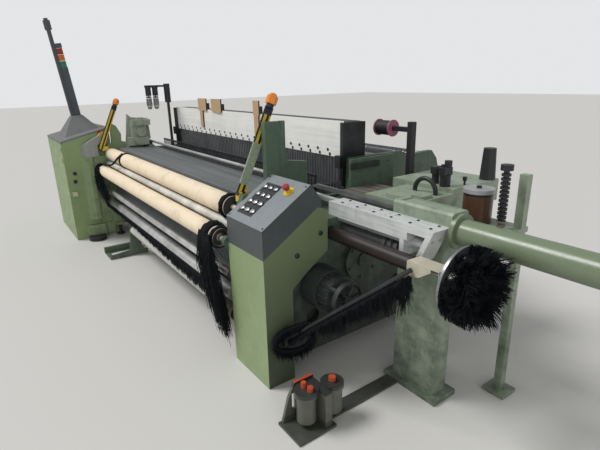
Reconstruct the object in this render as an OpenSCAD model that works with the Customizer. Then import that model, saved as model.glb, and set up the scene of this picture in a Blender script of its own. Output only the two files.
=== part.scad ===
// Wide weaving loom with a rigid rapier that works out of a long guide tube.
// +X runs along the cloth width to the tube side, +Y from the cloth side to the warp side.
// The origin is on the floor under the fell of the cloth, at the middle of the width.

/* [Width] */
// Width of the cloth and of the warp sheet
web_w = 2760; // [2600:10:2900]
// Room between each edge of the cloth and its side frame
side_gap = 85; // [80:1:110]

/* [Side frames] */
// Thickness of the inner cheek of each side frame
cheek_t = 36; // [30:1:44]
// Width of the boxed outer part of each side frame
frame_box_w = 345; // [300:5:420]
// Depth of the cored recesses in the outer wall
core_depth = 40; // [20:5:60]
// Height of the frame's underside above the floor
foot_h = 110; // [90:5:130]
// Height of the frame top beside the shed
deck_z = 900; // [890:1:905]
// Height of the frame top behind the shed
rear_deck_z = 1115; // [1100:5:1130]
// Height of the tall upright of the right frame
upright_z = 1385; // [1300:5:1420]
// Depth of the frame behind the fell
rear_y = 1230; // [1200:10:1300]

/* [Cross beams and feet] */
// Side of the square cross beams
beam_s = 90; // [70:5:110]
// Diameter of a levelling foot's pad
pad_d = 84; // [70:2:88]
// Thickness of a levelling foot's pad
pad_t = 18; // [12:1:24]

/* [Cloth rollers] */
// Diameter of the rear cloth roller
rear_roller_d = 130; // [110:1:134]
// Diameter of the press roller
press_roller_d = 58; // [46:1:60]
// Diameter of the front cloth roller
front_roller_d = 114; // [100:1:120]
// Diameter of the draw roller
draw_roller_d = 50; // [40:1:60]
// Diameter of the take-up roller
take_up_d = 90; // [80:1:96]
// Diameter of the cloth roll near the floor
cloth_roll_d = 84; // [70:1:90]
// Length of the cloth roll
cloth_roll_len = 2075; // [1900:5:2200]
// Diameter of a roller's journal
journal_d = 30; // [24:1:34]

/* [Cloth and warp] */
// Thickness of the cloth and of the warp sheet
web_t = 3; // [2:0.5:4]
// Number of gaps in the reed, the healds and the warp
gap_n = 88; // [40:2:100]
// Length of the fringe under the take-up roller
fringe_h = 128; // [90:2:130]
// Diameter of the bar of the temple over the fell
temple_d = 25; // [20:1:28]

/* [Sley] */
// Height of the sley shaft
sley_z = 480; // [460:5:500]
// Diameter of the sley shaft
sley_shaft_d = 60; // [50:1:70]
// Height of the reed
reed_h = 132; // [120:1:140]

/* [Heald frames] */
// Distance from one heald frame to the next
heald_pitch = 32; // [28:1:36]
// Thickness of a heald frame
heald_t = 10; // [8:0.5:12]
// Height of the top stave
stave_h = 236; // [200:2:250]
// Height of the bottom stave
low_stave_h = 90; // [70:2:110]
// Diameter of the holes in the top stave
stave_hole_d = 15; // [10:1:18]
// Pitch of the holes in the top stave
stave_hole_pitch = 110; // [90:5:140]

/* [Warp side] */
// Diameter of the back rest roller
back_rest_d = 84; // [70:1:90]
// Diameter of the yarn on the warp beam
warp_roll_d = 500; // [400:10:520]
// Diameter of the warp beam's flanges
flange_d = 660; // [560:10:680]

/* [Cabinet] */
// Width of the control cabinet
cabinet_w = 880; // [800:10:900]
// Depth of the control cabinet
cabinet_depth = 480; // [440:5:500]
// Height of the cabinet at its front
cabinet_h = 1040; // [980:5:1060]
// Wall of the cabinet
cabinet_wall = 12; // [8:1:16]
// Thickness of the cabinet's door
door_t = 18; // [14:1:22]
// Height of the signal column's top
column_top_z = 2270; // [2150:10:2300]

/* [Console] */
// Width of the control console
console_w = 374; // [360:2:374]
// Height of the grey cap of the console at its front
console_cap_h = 155; // [130:5:170]
// Diameter of an emergency stop button
stop_d = 40; // [34:1:44]
// Diameter of the yellow collar under a stop button
collar_d = 62; // [56:1:66]
// Width of one key
key_w = 30; // [24:1:32]

/* [Rapier] */
// Outer diameter of the guide tube
tube_d = 126; // [118:1:130]
// Wall of the guide tube
tube_wall = 6; // [4:0.5:8]
// Length of the guide tube
tube_len = 1650; // [1600:10:1900]
// Width of the rapier rod
rod_w = 22; // [18:1:24]
// Height of the rapier rod
rod_h = 24; // [20:1:26]
// Length of the aluminium guide housing
guide_len = 722; // [700:2:740]
// Depth of the aluminium guide housing
guide_w = 114; // [100:1:120]

/* [Right drive] */
// Diameter of the drive motor's body
motor_d = 236; // [200:2:250]
// Diameter of the fan
fan_d = 166; // [140:2:170]
// Diameter of the selvedge beam
selvedge_beam_d = 76; // [66:1:80]
// Diameter of the waste wheel
waste_wheel_d = 320; // [280:5:340]

/* [Hidden] */
$fn = 48;
seat = 0.3;
run = 0.05;
in_x = web_w / 2 + side_gap;
foot_x = in_x - 18;
foot_rows = [-545, 150, rear_y - 90];
out_x = in_x + cheek_t;
box_x = out_x + frame_box_w;
box_front_y = -478;
box_rear_y = 620;
web_x = web_w / 2;
roller_x = in_x - 25;
box_top_z = 880;

rear_roller_y = -529;
rear_roller_z = 897;
press_roller_y = -560;
press_roller_z = 798;
front_roller_y = -652;
front_roller_z = 750;
draw_roller_y = -630;
draw_roller_z = 536;
take_up_y = -610;
take_up_z = 398;
cloth_roll_y = -600;
cloth_roll_z = 257;
cloth_roll_x1 = in_x - 30;
cloth_roll_x0 = cloth_roll_x1 - cloth_roll_len;
boss_r = 30;

warp_z = 941;
cloth_front_z = 958;
fell_y = -60;
temple_y = -102;
temple_z = 1002;

sley_y = 60;
reed_y = 50;
reed_t = 6;
reed_z0 = 888;
reed_x = web_x + 15;
sley_top = reed_z0;
sley_beam_h = 84;
leg_n = 6;
leg_pitch = (2 * reed_x - 290) / (leg_n - 1);

heald_y0 = 250;
heald_n = 5;
heald_x = in_x - 22;
stave_z0 = 1110;
low_stave_z1 = 650;
gap_pitch = web_w / gap_n;
wire_w = 4;
strip_w = gap_pitch - 14;
guide_strip_t = heald_pitch - heald_t - 2 * seat;

back_rest_y = 1010;
back_rest_z = 1035;
warp_beam_y = 830;
warp_beam_z = 480;
flange_t = 14;

cab_x1 = -out_x;
cab_x0 = cab_x1 - cabinet_w;
cab_y0 = -985;
cab_y1 = cab_y0 + cabinet_depth;
lid_slope = 0.24;
column_x = cab_x1 - 399;
column_y = cab_y0 + 260;
hood_h = 187.6;
column_z = lid_z(column_y) + hood_h;

con_x0 = out_x;
con_x1 = con_x0 + console_w;
con_y0 = -654;
con_ridge_y = -354;
con_ridge_z = 1095;
con_front_z = 906;
con_back_y = -244;
con_slope = (con_ridge_z - con_front_z) / (con_ridge_y - con_y0);
con_angle = atan(con_slope);
cap_t = console_cap_h;

rod_y = 20;
rod_z = 962;
tube_y = 20;
tube_z = 929;
rod_x0 = in_x + 20;
gear_x0 = box_x + 304;
gear_x1 = gear_x0 + 350;
rod_x1 = gear_x1 + tube_len - 60;
guide_x0 = gear_x1 - 6 - guide_len;
gear_y0 = -38;
gear_top_z = 1020;
guide_y1 = gear_y0;
guide_z1 = 955;

motor_y = -300;
motor_z = 522;
beam_y = -200;
beam_z = 800;
beam_x1 = box_x + 584;
clutch_y = 30;
clutch_z = 590;

case_x0 = box_x + 14;
case_x1 = gear_x0 + 40;
case_z = 985;
table_x0 = box_x - 101;
table_y0 = 390;
table_y1 = 830;
table_z = 1010;
panel_x = box_x - 246;

green = [0.45, 0.58, 0.42];
dark_green = [0.24, 0.33, 0.25];
grey = [0.38, 0.40, 0.41];
steel = [0.72, 0.73, 0.74];
black = [0.10, 0.10, 0.11];

// Box between two corners
module block(x0, x1, y0, y1, z0, z1) {
    translate([x0, y0, z0]) cube([x1 - x0, y1 - y0, z1 - z0]);
}

// Round bar along X
module xbar(d, x0, x1, y, z) {
    translate([x0, y, z]) rotate([0, 90, 0]) cylinder(d = d, h = x1 - x0);
}

// Outline of [y, z] points carried along X
module profile(points, x0, x1) {
    translate([x0, 0, 0]) rotate([90, 0, 90]) linear_extrude(x1 - x0) polygon(points);
}

// Outline of the cheek, from the front foot round over the deck to the rear foot
function cheek_points(tall) = concat(
    [[-600, foot_h], [-600, 640], [-572, 770], [-572, 940], [-540, 1000]],
    tall ? [[-385, 1000], [-385, upright_z], [-290, upright_z], [-240, 1160], [-100, 1140]]
         : [[-500, 1000], [-490, 1222], [-432, 1180], [-392, 1093], [-398, 1020], [-330, 1000],
            [-120, 1000]],
    [[-100, deck_z], [235, deck_z], [250, rear_deck_z], [730, rear_deck_z], [790, 1070],
     [960, 1085], [1060, 1085], [1120, 1020], [rear_y, 700], [rear_y, foot_h],
     [1050, foot_h], [960, 240], [700, 240], [box_rear_y, foot_h]]);

// Outline of the boxed outer part, which follows the console's back edge
box_points = [[box_front_y, foot_h], [box_front_y, 536], [-376, 608], [-236, 700],
    [-236, box_top_z], [box_rear_y, box_top_z], [box_rear_y, foot_h]];

// Bevelled front cover of the left cheek and its base, open between the two
cover_x = in_x - 24;
cover_front = -824;
cover_edge = -762;
cover_base_z = 40;
cover_split = [150, 211];
cover_top_z = 884;

module front_cover() {
    translate([0, 0, cover_split[1]]) linear_extrude(cover_top_z - cover_split[1])
        polygon([[out_x, -560], [out_x, cover_front], [cover_x, cover_edge],
            [cover_x, cover_edge + 40], [in_x, cover_edge + 40], [in_x, -560]]);
    translate([0, 0, cover_base_z]) linear_extrude(cover_split[0] - cover_base_z)
        polygon([[out_x, -590], [out_x, cover_front - 50], [cover_x, cover_edge - 58],
            [cover_x, cover_edge + 72], [in_x, cover_edge + 72], [in_x, -590]]);
}

// One side frame: a cheek with the roller bores and a boxed outer part
module side_frame(tall) {
    difference() {
        union() {
            profile(cheek_points(tall), in_x, out_x);
            profile(box_points, out_x - 0.5, box_x);
            if (!tall) front_cover();
            for (b = [[rear_roller_y, rear_roller_z], [press_roller_y, press_roller_z],
                      [front_roller_y, front_roller_z], [draw_roller_y, draw_roller_z],
                      [take_up_y, take_up_z]])
                xbar(2 * boss_r, in_x, out_x, b[0], b[1]);
            block(in_x, out_x, front_roller_y, -560, front_roller_z - 18, front_roller_z + 18);
            block(in_x, out_x, draw_roller_y, -590, draw_roller_z - 18, draw_roller_z + 18);
            // Lugs that the levelling feet screw into
            for (y = foot_rows)
                block(foot_x - 24, in_x + 1, y - 40, y + 40, foot_h, foot_h + 30);
        }
        for (b = [[rear_roller_y, rear_roller_z], [press_roller_y, press_roller_z],
                  [front_roller_y, front_roller_z], [draw_roller_y, draw_roller_z],
                  [take_up_y, take_up_z], [back_rest_y, back_rest_z]])
            xbar(journal_d + 2 * run, in_x - 1, in_x + 24, b[0], b[1]);
        xbar(sley_shaft_d + 2 * run, in_x - 1, in_x + 24, sley_y, sley_z);
        xbar(2 * journal_d + 2 * run, in_x - 1, in_x + 24, warp_beam_y, warp_beam_z);
        // Window beside the warp beam
        profile([[760, 320], [980, 320], [1080, 430], [1080, 660], [1010, 760], [760, 640]],
            out_x - 8, out_x + 1);
        // Cored recesses in the outer wall
        for (h = [[-330, 330, 90], [330, 330, 150], [330, 660, 120], [80, 780, 70]])
            xbar(h[2], box_x - core_depth, box_x + 1, h[0], h[1]);
    }
}

module left_side_frame() {
    color(green) mirror([1, 0, 0]) side_frame(false);
}

module right_side_frame() {
    color(green) {
        side_frame(true);
        // Rounded column at the back of the upright
        translate([in_x + cheek_t / 2, -262, 1000]) cylinder(d = cheek_t + 4, h = upright_z - 1000);
        // Round cover over the clutch, with its hub and screws
        xbar(260, box_x - 1, box_x + 22, clutch_y, clutch_z);
        xbar(80, box_x - 1, box_x + 34, clutch_y, clutch_z);
        for (a = [20:60:320])
            xbar(16, box_x - 1, box_x + 30, clutch_y + 108 * cos(a), clutch_z + 108 * sin(a));
        // Side panel of the harness drive
        difference() {
            block(panel_x - 15, panel_x, 165, 545, box_top_z - 1, rear_deck_z + 12);
            xbar(14, panel_x - 16, panel_x + 1, 490, rear_deck_z - 30);
        }
    }
}

// Centres of the three cross beams as [y, underside]
cross_rows = [[-430, foot_h + 20], [0, foot_h + 20], [520, foot_h + 20]];

module cross_beams() {
    color(dark_green) for (c = cross_rows) difference() {
        block(-in_x, in_x, c[0] - beam_s / 2, c[0] + beam_s / 2, c[1], c[1] + beam_s);
        block(-in_x + 20, in_x - 20, c[0] - beam_s / 2 + 10, c[0] + beam_s / 2 - 10,
            c[1] - 1, c[1] + beam_s - 12);
    }
}

// Levelling foot: a round pad, a stem and a lock nut up to a given height
module foot(x, y, top) {
    translate([x, y, 0]) {
        cylinder(d = pad_d, h = pad_t);
        cylinder(d = 30, h = top);
        translate([0, 0, top - 20]) cylinder(d = 54, h = 20, $fn = 6);
    }
}

module levelling_feet() {
    color(grey) {
        for (sx = [-1, 1], y = foot_rows) foot(sx * foot_x, y, foot_h);
        // Round rubber foot under the base of the left front cover
        translate([-cover_x + 40, cover_edge - 38, 0]) cylinder(d = 170, h = cover_base_z);
        // Middle foot under the centre cross beam, inside its open underside
        cylinder(d = pad_d, h = pad_t);
        cylinder(d = 36, h = foot_h + 20 + beam_s - 12);
    }
}

module breast_beam() {
    color(dark_green) {
        block(-in_x, in_x, -330, -180, 800, 890);
        for (sx = [-1, 1]) mirror([sx < 0 ? 1 : 0, 0, 0]) {
            // Temple bracket that rises outside the cloth
            profile([[-330, 889], [-180, 889], [temple_y + 20, temple_z - 36],
                     [temple_y + 20, temple_z - temple_d / 2 - seat],
                     [temple_y - 14, temple_z - temple_d / 2 - seat], [-250, 900]],
                reed_x + 12, reed_x + 40);
        }
    }
}

module temple_bar() {
    color(steel) {
        xbar(temple_d, -(reed_x + 44), reed_x + 44, temple_y, temple_z);
    }
}

// Roller with journals that run in the two cheeks
module roller(d, x0, x1, y, z, jd) {
    xbar(d, x0, x1, y, z);
    xbar(jd, -in_x - 20, in_x + 20, y, z);
}

module rear_roller() {
    color([0.88, 0.74, 0.55]) roller(rear_roller_d, -(in_x - 62), roller_x - 100, rear_roller_y,
        rear_roller_z, journal_d);
}

module press_roller() {
    color(steel) roller(press_roller_d, -roller_x, roller_x, press_roller_y, press_roller_z,
        journal_d);
}

module front_roller() {
    color([0.90, 0.78, 0.58]) difference() {
        roller(front_roller_d, -roller_x, roller_x - 25, front_roller_y, front_roller_z, journal_d);
        // Dished right end with the hub left standing
        difference() {
            xbar(front_roller_d - 16, roller_x - 45, roller_x - 24, front_roller_y, front_roller_z);
            xbar(46, roller_x - 46, roller_x - 23, front_roller_y, front_roller_z);
        }
    }
}

module draw_roller() {
    color(steel) roller(draw_roller_d, -roller_x, roller_x, draw_roller_y, draw_roller_z,
        journal_d);
}

module take_up_roller() {
    color(steel) roller(take_up_d, -roller_x, roller_x, take_up_y, take_up_z, journal_d);
}

stand_t = 14;
stand_x = [cloth_roll_x0 - 40, in_x - stand_t];

module cloth_roll() {
    color([0.80, 0.80, 0.76]) {
        xbar(cloth_roll_d, cloth_roll_x0, cloth_roll_x1, cloth_roll_y, cloth_roll_z);
        xbar(journal_d, stand_x[0], stand_x[1] + stand_t - seat, cloth_roll_y, cloth_roll_z);
    }
}

module roll_stands() {
    y = cloth_roll_y;
    z = cloth_roll_z;
    color(green) difference() {
        union() {
            // Floor stand: upright plate with a foot flange turned outwards
            profile([[y - 250, 0], [y + 110, 0], [y + 110, 40], [y + 50, 60], [y + 33, z + 33],
                     [y - 33, z + 33], [y - 60, 60], [y - 250, 40]], stand_x[0], stand_x[0] + stand_t);
            block(stand_x[0] - 230, stand_x[0] + 1, y - 250, y + 110, 0, 12);
            block(stand_x[0] - 230, stand_x[0] - 200, y - 250, y + 110, 0, 60);
            // Hanger plate on the inner face of the right cheek
            block(stand_x[1], stand_x[1] + stand_t, y - 33, y + 90, z - 33, z + 33);
        }
        for (x = stand_x) xbar(journal_d + 2 * run, x - 1, x + stand_t + 1, y, z);
        block(stand_x[0] - 180, stand_x[0] - 20, y - 210, y + 60, -1, 13);
    }
}

// Cloth from the fell to the front edge, then down behind the rollers to the take-up roller
cloth_back_y = rear_roller_y + rear_roller_d / 2 + 10;
wrap_y = take_up_y + take_up_d / 2 + seat;

module cloth_web() {
    t = web_t;
    zb = warp_z - t / 2;
    color([0.28, 0.31, 0.32]) profile([
        [fell_y - seat, zb], [fell_y - seat, zb + t],
        [cloth_back_y + 8, cloth_front_z + t], [cloth_back_y, cloth_front_z - 4],
        [cloth_back_y, 704], [wrap_y + 4, 484], [wrap_y, 440], [wrap_y, take_up_z],
        [wrap_y + t, take_up_z], [wrap_y + t, 436], [wrap_y + t + 6, 480],
        [cloth_back_y + t, 700], [cloth_back_y + t, cloth_front_z - 8],
        [cloth_back_y + 12, cloth_front_z]], -web_x, web_x);
}

// Serrated lower edge of the fringe
fringe_n = 60;
fringe_y = take_up_y - take_up_d / 2 - seat;

module cloth_fringe() {
    step = 2 * web_x / fringe_n;
    color(black) translate([0, fringe_y, 0]) rotate([90, 0, 0]) linear_extrude(web_t) polygon(concat(
        [[-web_x, take_up_z + 8]],
        [for (i = [0:fringe_n - 1], k = [0, 1])
            [-web_x + (i + k / 2) * step, take_up_z + 8 - fringe_h + (k == 0 ? 14 : -14)]],
        [[web_x, take_up_z + 8 - fringe_h], [web_x, take_up_z + 8]]));
}

module sley_beam() {
    color(dark_green) {
        xbar(sley_shaft_d, -in_x - 20, in_x + 20, sley_y, sley_z);
        for (k = [0:leg_n - 1]) let (x = (k - (leg_n - 1) / 2) * leg_pitch)
            profile([[sley_y - 42, sley_z - 40], [sley_y + 42, sley_z - 40],
                     [sley_y + 34, sley_top - sley_beam_h + 1], [sley_y - 34, sley_top - sley_beam_h + 1]],
                x - 30, x + 30);
        profile([[26, sley_top - sley_beam_h], [94, sley_top - sley_beam_h], [94, sley_top - 30],
                 [70, sley_top], [36, sley_top], [26, sley_top - 14]], -reed_x, reed_x);
    }
}

module reed() {
    z1 = reed_z0 + reed_h;
    color([0.20, 0.21, 0.22]) difference() {
        union() {
            block(-reed_x, reed_x, reed_y - reed_t / 2, reed_y + reed_t / 2, reed_z0, z1);
            block(-reed_x, reed_x, reed_y - 6, reed_y + 6, z1 - 14, z1);
        }
        for (i = [0:gap_n - 1]) translate([-web_x + (i + 0.5) * gap_pitch, reed_y, (reed_z0 + z1) / 2])
            cube([gap_pitch - wire_w, reed_t + 2, reed_h - 36], center = true);
    }
}

// Heald frame: two staves, two end struts and a field of heald wires in one flat plane
module heald_frame(i) {
    y = heald_y0 + i * heald_pitch;
    h = i == 0 ? stave_h : stave_h - 4;
    difference() {
        union() {
            block(-heald_x, heald_x, y - heald_t / 2, y + heald_t / 2, stave_z0, stave_z0 + h);
            block(-heald_x, heald_x, y - heald_t / 2, y + heald_t / 2, low_stave_z1 - low_stave_h,
                low_stave_z1);
            for (sx = [-1, 1]) translate([sx * (heald_x - 12), y, (low_stave_z1 + stave_z0) / 2])
                cube([24, heald_t, stave_z0 - low_stave_z1 + 2], center = true);
            difference() {
                block(-heald_x + 20, heald_x - 20, y - 2, y + 2, low_stave_z1 - 1, stave_z0 + 1);
                for (k = [0:gap_n - 1]) translate([-web_x + (k + 0.5) * gap_pitch, y,
                    (low_stave_z1 + stave_z0) / 2])
                    cube([gap_pitch - wire_w, 6, stave_z0 - low_stave_z1 - 8], center = true);
            }
        }
        // Two staggered rows of holes along the lower edge of the front stave
        if (i == 0) for (x = [-heald_x + 80:stave_hole_pitch:heald_x - 120]) {
            translate([x, y - heald_t, stave_z0 + 40]) rotate([-90, 0, 0])
                cylinder(d = stave_hole_d, h = 2 * heald_t);
            translate([x + stave_hole_pitch / 5, y - heald_t, stave_z0 + 12]) rotate([-90, 0, 0])
                cylinder(d = stave_hole_d, h = 2 * heald_t);
        }
    }
}

// Wooden spacer clips that hold the staves at one distance, each as the ends of its block,
// the ends of its leg and the leg's depth
clips = [[-800, -612, -766, -704, 175], [-492, -288, -400, -300, 20], [309, 401, 320, 390, 175]];

module stave_clips() {
    z1 = stave_z0 + stave_h;
    yf = heald_y0 - heald_t / 2;
    color([0.80, 0.60, 0.36]) for (c = clips) {
        block(c[0], c[1], yf - 12 - seat, yf - seat, z1 - 12, z1 + 105);
        block(c[2], c[3], yf - 12 - seat, yf - seat, z1 - c[4], z1 + 60);
        block(c[0] + 4, c[1], yf - 1 - seat, yf + 26, z1 + seat, z1 + 60);
    }
}

module harness_guides() {
    color(black) for (sx = [0, 1]) mirror([sx, 0, 0]) {
        // Comb that the frame ends slide in
        block(heald_x + 6, in_x, heald_y0 - heald_pitch, heald_y0 + heald_n * heald_pitch,
            deck_z + 30, stave_z0 + stave_h - 8);
        for (i = [0:heald_n]) translate([heald_x - 14, heald_y0 + (i - 0.5) * heald_pitch, 0])
            block(0, 21, -guide_strip_t / 2, guide_strip_t / 2, deck_z + 60, stave_z0 + stave_h - 8);
        // Bracket across the front of the comb
        block(heald_x - 30, in_x, heald_y0 - heald_pitch - 26, heald_y0 - heald_pitch + 1,
            stave_z0 - 60, stave_z0 + 20);
    }
    // Bar on the outer face of the harness drive's panel
    color(black) block(panel_x, panel_x + 22, 160, 395, stave_z0 - 42, stave_z0 - 8);
}

module warp_sheet() {
    zb = warp_z - web_t / 2;
    y_tail = heald_y0 + heald_n * heald_pitch + 20;
    step = gap_pitch;
    r = back_rest_d / 2 + seat;
    color([0.16, 0.17, 0.19]) {
        // Strips of threads that pass the reed and the healds side by side
        translate([0, 0, zb]) linear_extrude(web_t) polygon(concat(
            [[-web_x, y_tail + 2]],
            [for (i = [0:gap_n - 1], k = [0, 1, 2, 3])
                [-web_x + i * step + step / 2 + (k < 2 ? -1 : 1) * strip_w / 2,
                 (k == 0 || k == 3) ? y_tail : fell_y + seat]],
            [[web_x, y_tail + 2]]));
        // Closed sheet over the back rest and down to the beam
        profile(concat(
            [[y_tail, zb], [y_tail, zb + web_t]],
            [for (a = [100:-10:-10]) [back_rest_y + (r + web_t) * cos(a), back_rest_z + (r + web_t) * sin(a)]],
            [[warp_beam_y + warp_roll_d / 2 + seat + web_t, warp_beam_z + 30],
             [warp_beam_y + warp_roll_d / 2 + seat + web_t, warp_beam_z],
             [warp_beam_y + warp_roll_d / 2 + seat, warp_beam_z],
             [warp_beam_y + warp_roll_d / 2 + seat, warp_beam_z + 30]],
            [for (a = [-10:10:100]) [back_rest_y + r * cos(a), back_rest_z + r * sin(a)]]),
            -web_x + 2, web_x - 2);
    }
}

// Rails of the warp stop motion
rail_y0 = 560;
rail_pitch = 30;
rail_z0 = rear_deck_z - 75;
rail_n = 6;

module drop_wire_rails() {
    color(steel) {
        for (i = [0:rail_n - 1]) translate([0, rail_y0 + i * rail_pitch, 0])
            block(-in_x, in_x, 0, 6, rail_z0, rail_z0 + 30);
        for (sx = [0, 1]) mirror([sx, 0, 0])
            block(in_x - 12, in_x, rail_y0 - 15, rail_y0 + rail_n * rail_pitch - 10, rail_z0 - 15,
                rail_z0 + 45);
    }
}

module back_rest_roller() {
    color(steel) roller(back_rest_d, -roller_x, roller_x, back_rest_y, back_rest_z, journal_d);
}

module warp_beam() {
    color(grey) {
        roller(warp_roll_d, -web_x, web_x, warp_beam_y, warp_beam_z, 2 * journal_d);
        for (sx = [0, 1]) mirror([sx, 0, 0]) {
            xbar(flange_d, web_x - 0.5, web_x + flange_t, warp_beam_y, warp_beam_z);
            xbar(200, web_x, web_x + 40, warp_beam_y, warp_beam_z);
        }
    }
}

function lid_z(y) = cabinet_h + (y - cab_y0) * lid_slope;

seam_y = cab_y0 + 265;
knuckle_z = [180, cabinet_h - 180];
knuckle_h = 70;
knuckle_d = 16;

module cabinet_body() {
    w = cabinet_wall;
    y0 = cab_y0 + door_t + seat;
    color(green) difference() {
        profile([[y0, 0], [y0, lid_z(y0)], [cab_y1, lid_z(cab_y1)], [cab_y1, 0]], cab_x0, cab_x1);
        profile([[y0 - 1, 60], [y0 - 1, cabinet_h - 30], [cab_y1 - w, cabinet_h + 60], [cab_y1 - w, 60]],
            cab_x0 + w, cab_x1 - w);
        // Slot and seam of the side panel
        block(cab_x1 - 3, cab_x1 + 1, seam_y, seam_y + 4, 60, lid_z(seam_y) - 40);
        block(cab_x1 - 5, cab_x1 + 1, seam_y + 20, seam_y + 80, 700, 712);
        // Cut-outs for the knuckles of the door
        for (z = knuckle_z) translate([cab_x0, y0, z - knuckle_h / 2 - 2])
            cylinder(d = knuckle_d + 6, h = knuckle_h + 4);
    }
}

module cabinet_door() {
    color(green) difference() {
        union() {
            block(cab_x0, cab_x1, cab_y0, cab_y0 + door_t, 4, cabinet_h - 4);
            // Hinge knuckles round the axis at the back edge
            for (z = knuckle_z) translate([cab_x0, cab_y0 + door_t, z - knuckle_h / 2])
                cylinder(d = knuckle_d, h = knuckle_h);
            // Latch handles near the free edge
            for (z = [cabinet_h - 90, cabinet_h - 200])
                block(cab_x1 - 60, cab_x1 - 35, cab_y0 - 8, cab_y0 + 1, z, z + 45);
        }
        block(cab_x0 + 40, cab_x1 - 90, cab_y0 - 1, cab_y0 + 2, 60, 64);
    }
}

module cabinet_lid() {
    t = 20;
    color(grey) {
        profile([[cab_y0, cabinet_h + seat], [cab_y0, cabinet_h + t],
                 [cab_y1, lid_z(cab_y1) + t], [cab_y1, lid_z(cab_y1) + seat]],
            cab_x0 - 4, cab_x1);
        // Hood that carries the column
        hull() {
            on_column() translate([-55, -60, -2]) cube([110, 112, 2]);
            translate([column_x, column_y - 10, lid_z(column_y - 10) + t - 2]) rotate([atan(lid_slope), 0, 0])
                cube([420, 360, 2], center = true);
        }
    }
}

// Post, flat duct and lenses in the column's own upright frame
column_lean = 6;
lens_z0 = 500;
lens_h = 60;
lens_pitch = 64;

module on_column() {
    translate([column_x, column_y, column_z]) rotate([column_lean, 0, 0]) children();
}

module signal_column() {
    color([0.24, 0.27, 0.30]) {
        on_column() translate([-30, -52, 0]) cube([36, 36, column_top_z - column_z]);
        on_column() translate([-30, -16.5, 0]) cube([52, 60, lens_z0 - seat]);
        on_column() translate([-30, -16.5, lens_z0 + 3 * lens_pitch]) cube([52, 60, 44]);
        on_column() translate([-40, -62, column_top_z - column_z - 110]) cube([50, 60, 90]);
    }
}

module signal_lenses() {
    color("tomato") for (k = [0:2])
        on_column() translate([-28, -15.7, lens_z0 + k * lens_pitch]) cube([48, 56, lens_h]);
}

// Control box with a sloped face, seated on the left cheek
lbox_x0 = -out_x;
lbox_w = 68;
lbox_y0 = cover_front + 17;
lbox_y1 = -556;
lbox_z0 = 1006;
lbox_z1 = 1124;
lbox_angle = atan((lbox_z1 - lbox_z0) / (lbox_y1 - 20 - lbox_y0));

module left_control_box() {
    color(grey) difference() {
        profile([[lbox_y0, cover_top_z], [lbox_y0, lbox_z0], [lbox_y1 - 20, lbox_z1], [lbox_y1, lbox_z1],
            [lbox_y1, lbox_z1 - 58], [lbox_y1 - 99, lbox_z1 - 124], [lbox_y1 - 99, cover_top_z]],
            lbox_x0, lbox_x0 + lbox_w);
        // Bevelled front corner
        translate([0, 0, cover_top_z - 1]) linear_extrude(300)
            polygon([[lbox_x0, lbox_y0], [lbox_x0 + lbox_w + 1, lbox_y0 - 1],
                [lbox_x0 + lbox_w + 1, lbox_y0 + 52]]);
    }
}

// Frame of reference on a sloped face: local Z is the face's normal
module on_slope(x, y, z, angle) {
    translate([x, y, z]) rotate([angle, 0, 0]) children();
}

lbox_slope = (lbox_z1 - lbox_z0) / (lbox_y1 - 20 - lbox_y0);
lstop_x = lbox_x0 + lbox_w / 2;
lstop_y = lbox_y1 - 49;
lstop_z = lbox_z0 + (lstop_y - lbox_y0) * lbox_slope;
cstop_x = con_x1 - 95;
cstop_y = -424;
cstop_z = con_front_z + (cstop_y - con_y0) * con_slope;

module stop_collar() {
    translate([0, 0, seat]) difference() {
        union() {
            cylinder(d = collar_d, h = 4);
            cylinder(d = stop_d - 12, h = 16);
        }
        translate([0, 0, -1]) cylinder(d = 16, h = 20);
    }
}

module stop_collars() {
    color("gold") {
        on_slope(lstop_x, lstop_y, lstop_z, lbox_angle) stop_collar();
        on_slope(cstop_x, cstop_y, cstop_z, con_angle) stop_collar();
    }
}

module stop_button() {
    translate([0, 0, 4]) cylinder(d = 16 - 2 * run, h = 22);
    translate([0, 0, 24]) cylinder(d1 = stop_d - 8, d2 = stop_d, h = 16);
    translate([0, 0, 40]) cylinder(d1 = stop_d, d2 = stop_d - 8, h = 5);
}

module left_stop_button() {
    color("red") on_slope(lstop_x, lstop_y, lstop_z, lbox_angle) stop_button();
}

module console_stop_button() {
    color("red") on_slope(cstop_x, cstop_y, cstop_z, con_angle) stop_button();
}

// Lamp posts: flat bars that lean back, each with a foot bolted to its cheek
post_lean = 25;
right_post = [in_x - 20, -525, 1006];
left_post = [-in_x + 40, -618, 980];
right_post_len = 520;
left_post_len = 468;
lamp_d = 64;

module lamp_post(len) {
    rotate([-post_lean, 0, 0]) {
        translate([-5, -26, -8]) cube([10, 52, len - 10]);
        translate([0, 0, len - 22]) cylinder(d = 44, h = 22);
    }
}

module lamp_posts() {
    color("gold") {
        translate(right_post) lamp_post(right_post_len);
        block(right_post[0] - 16, in_x, -553, -490, 955, 1008);
        translate(left_post) lamp_post(left_post_len);
        block(-in_x, left_post[0] + 16, -632, -550, 942, 982);
    }
}

module lamp_lens(len) {
    rotate([-post_lean, 0, 0]) translate([0, 0, len + seat]) {
        cylinder(d = lamp_d, h = 42, $fn = 6);
        translate([0, 0, 42]) cylinder(d1 = lamp_d, d2 = 30, h = 20, $fn = 6);
    }
}

module warning_lamps() {
    color("orange") {
        translate(right_post) lamp_lens(right_post_len);
        translate(left_post) lamp_lens(left_post_len);
    }
}

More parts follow.
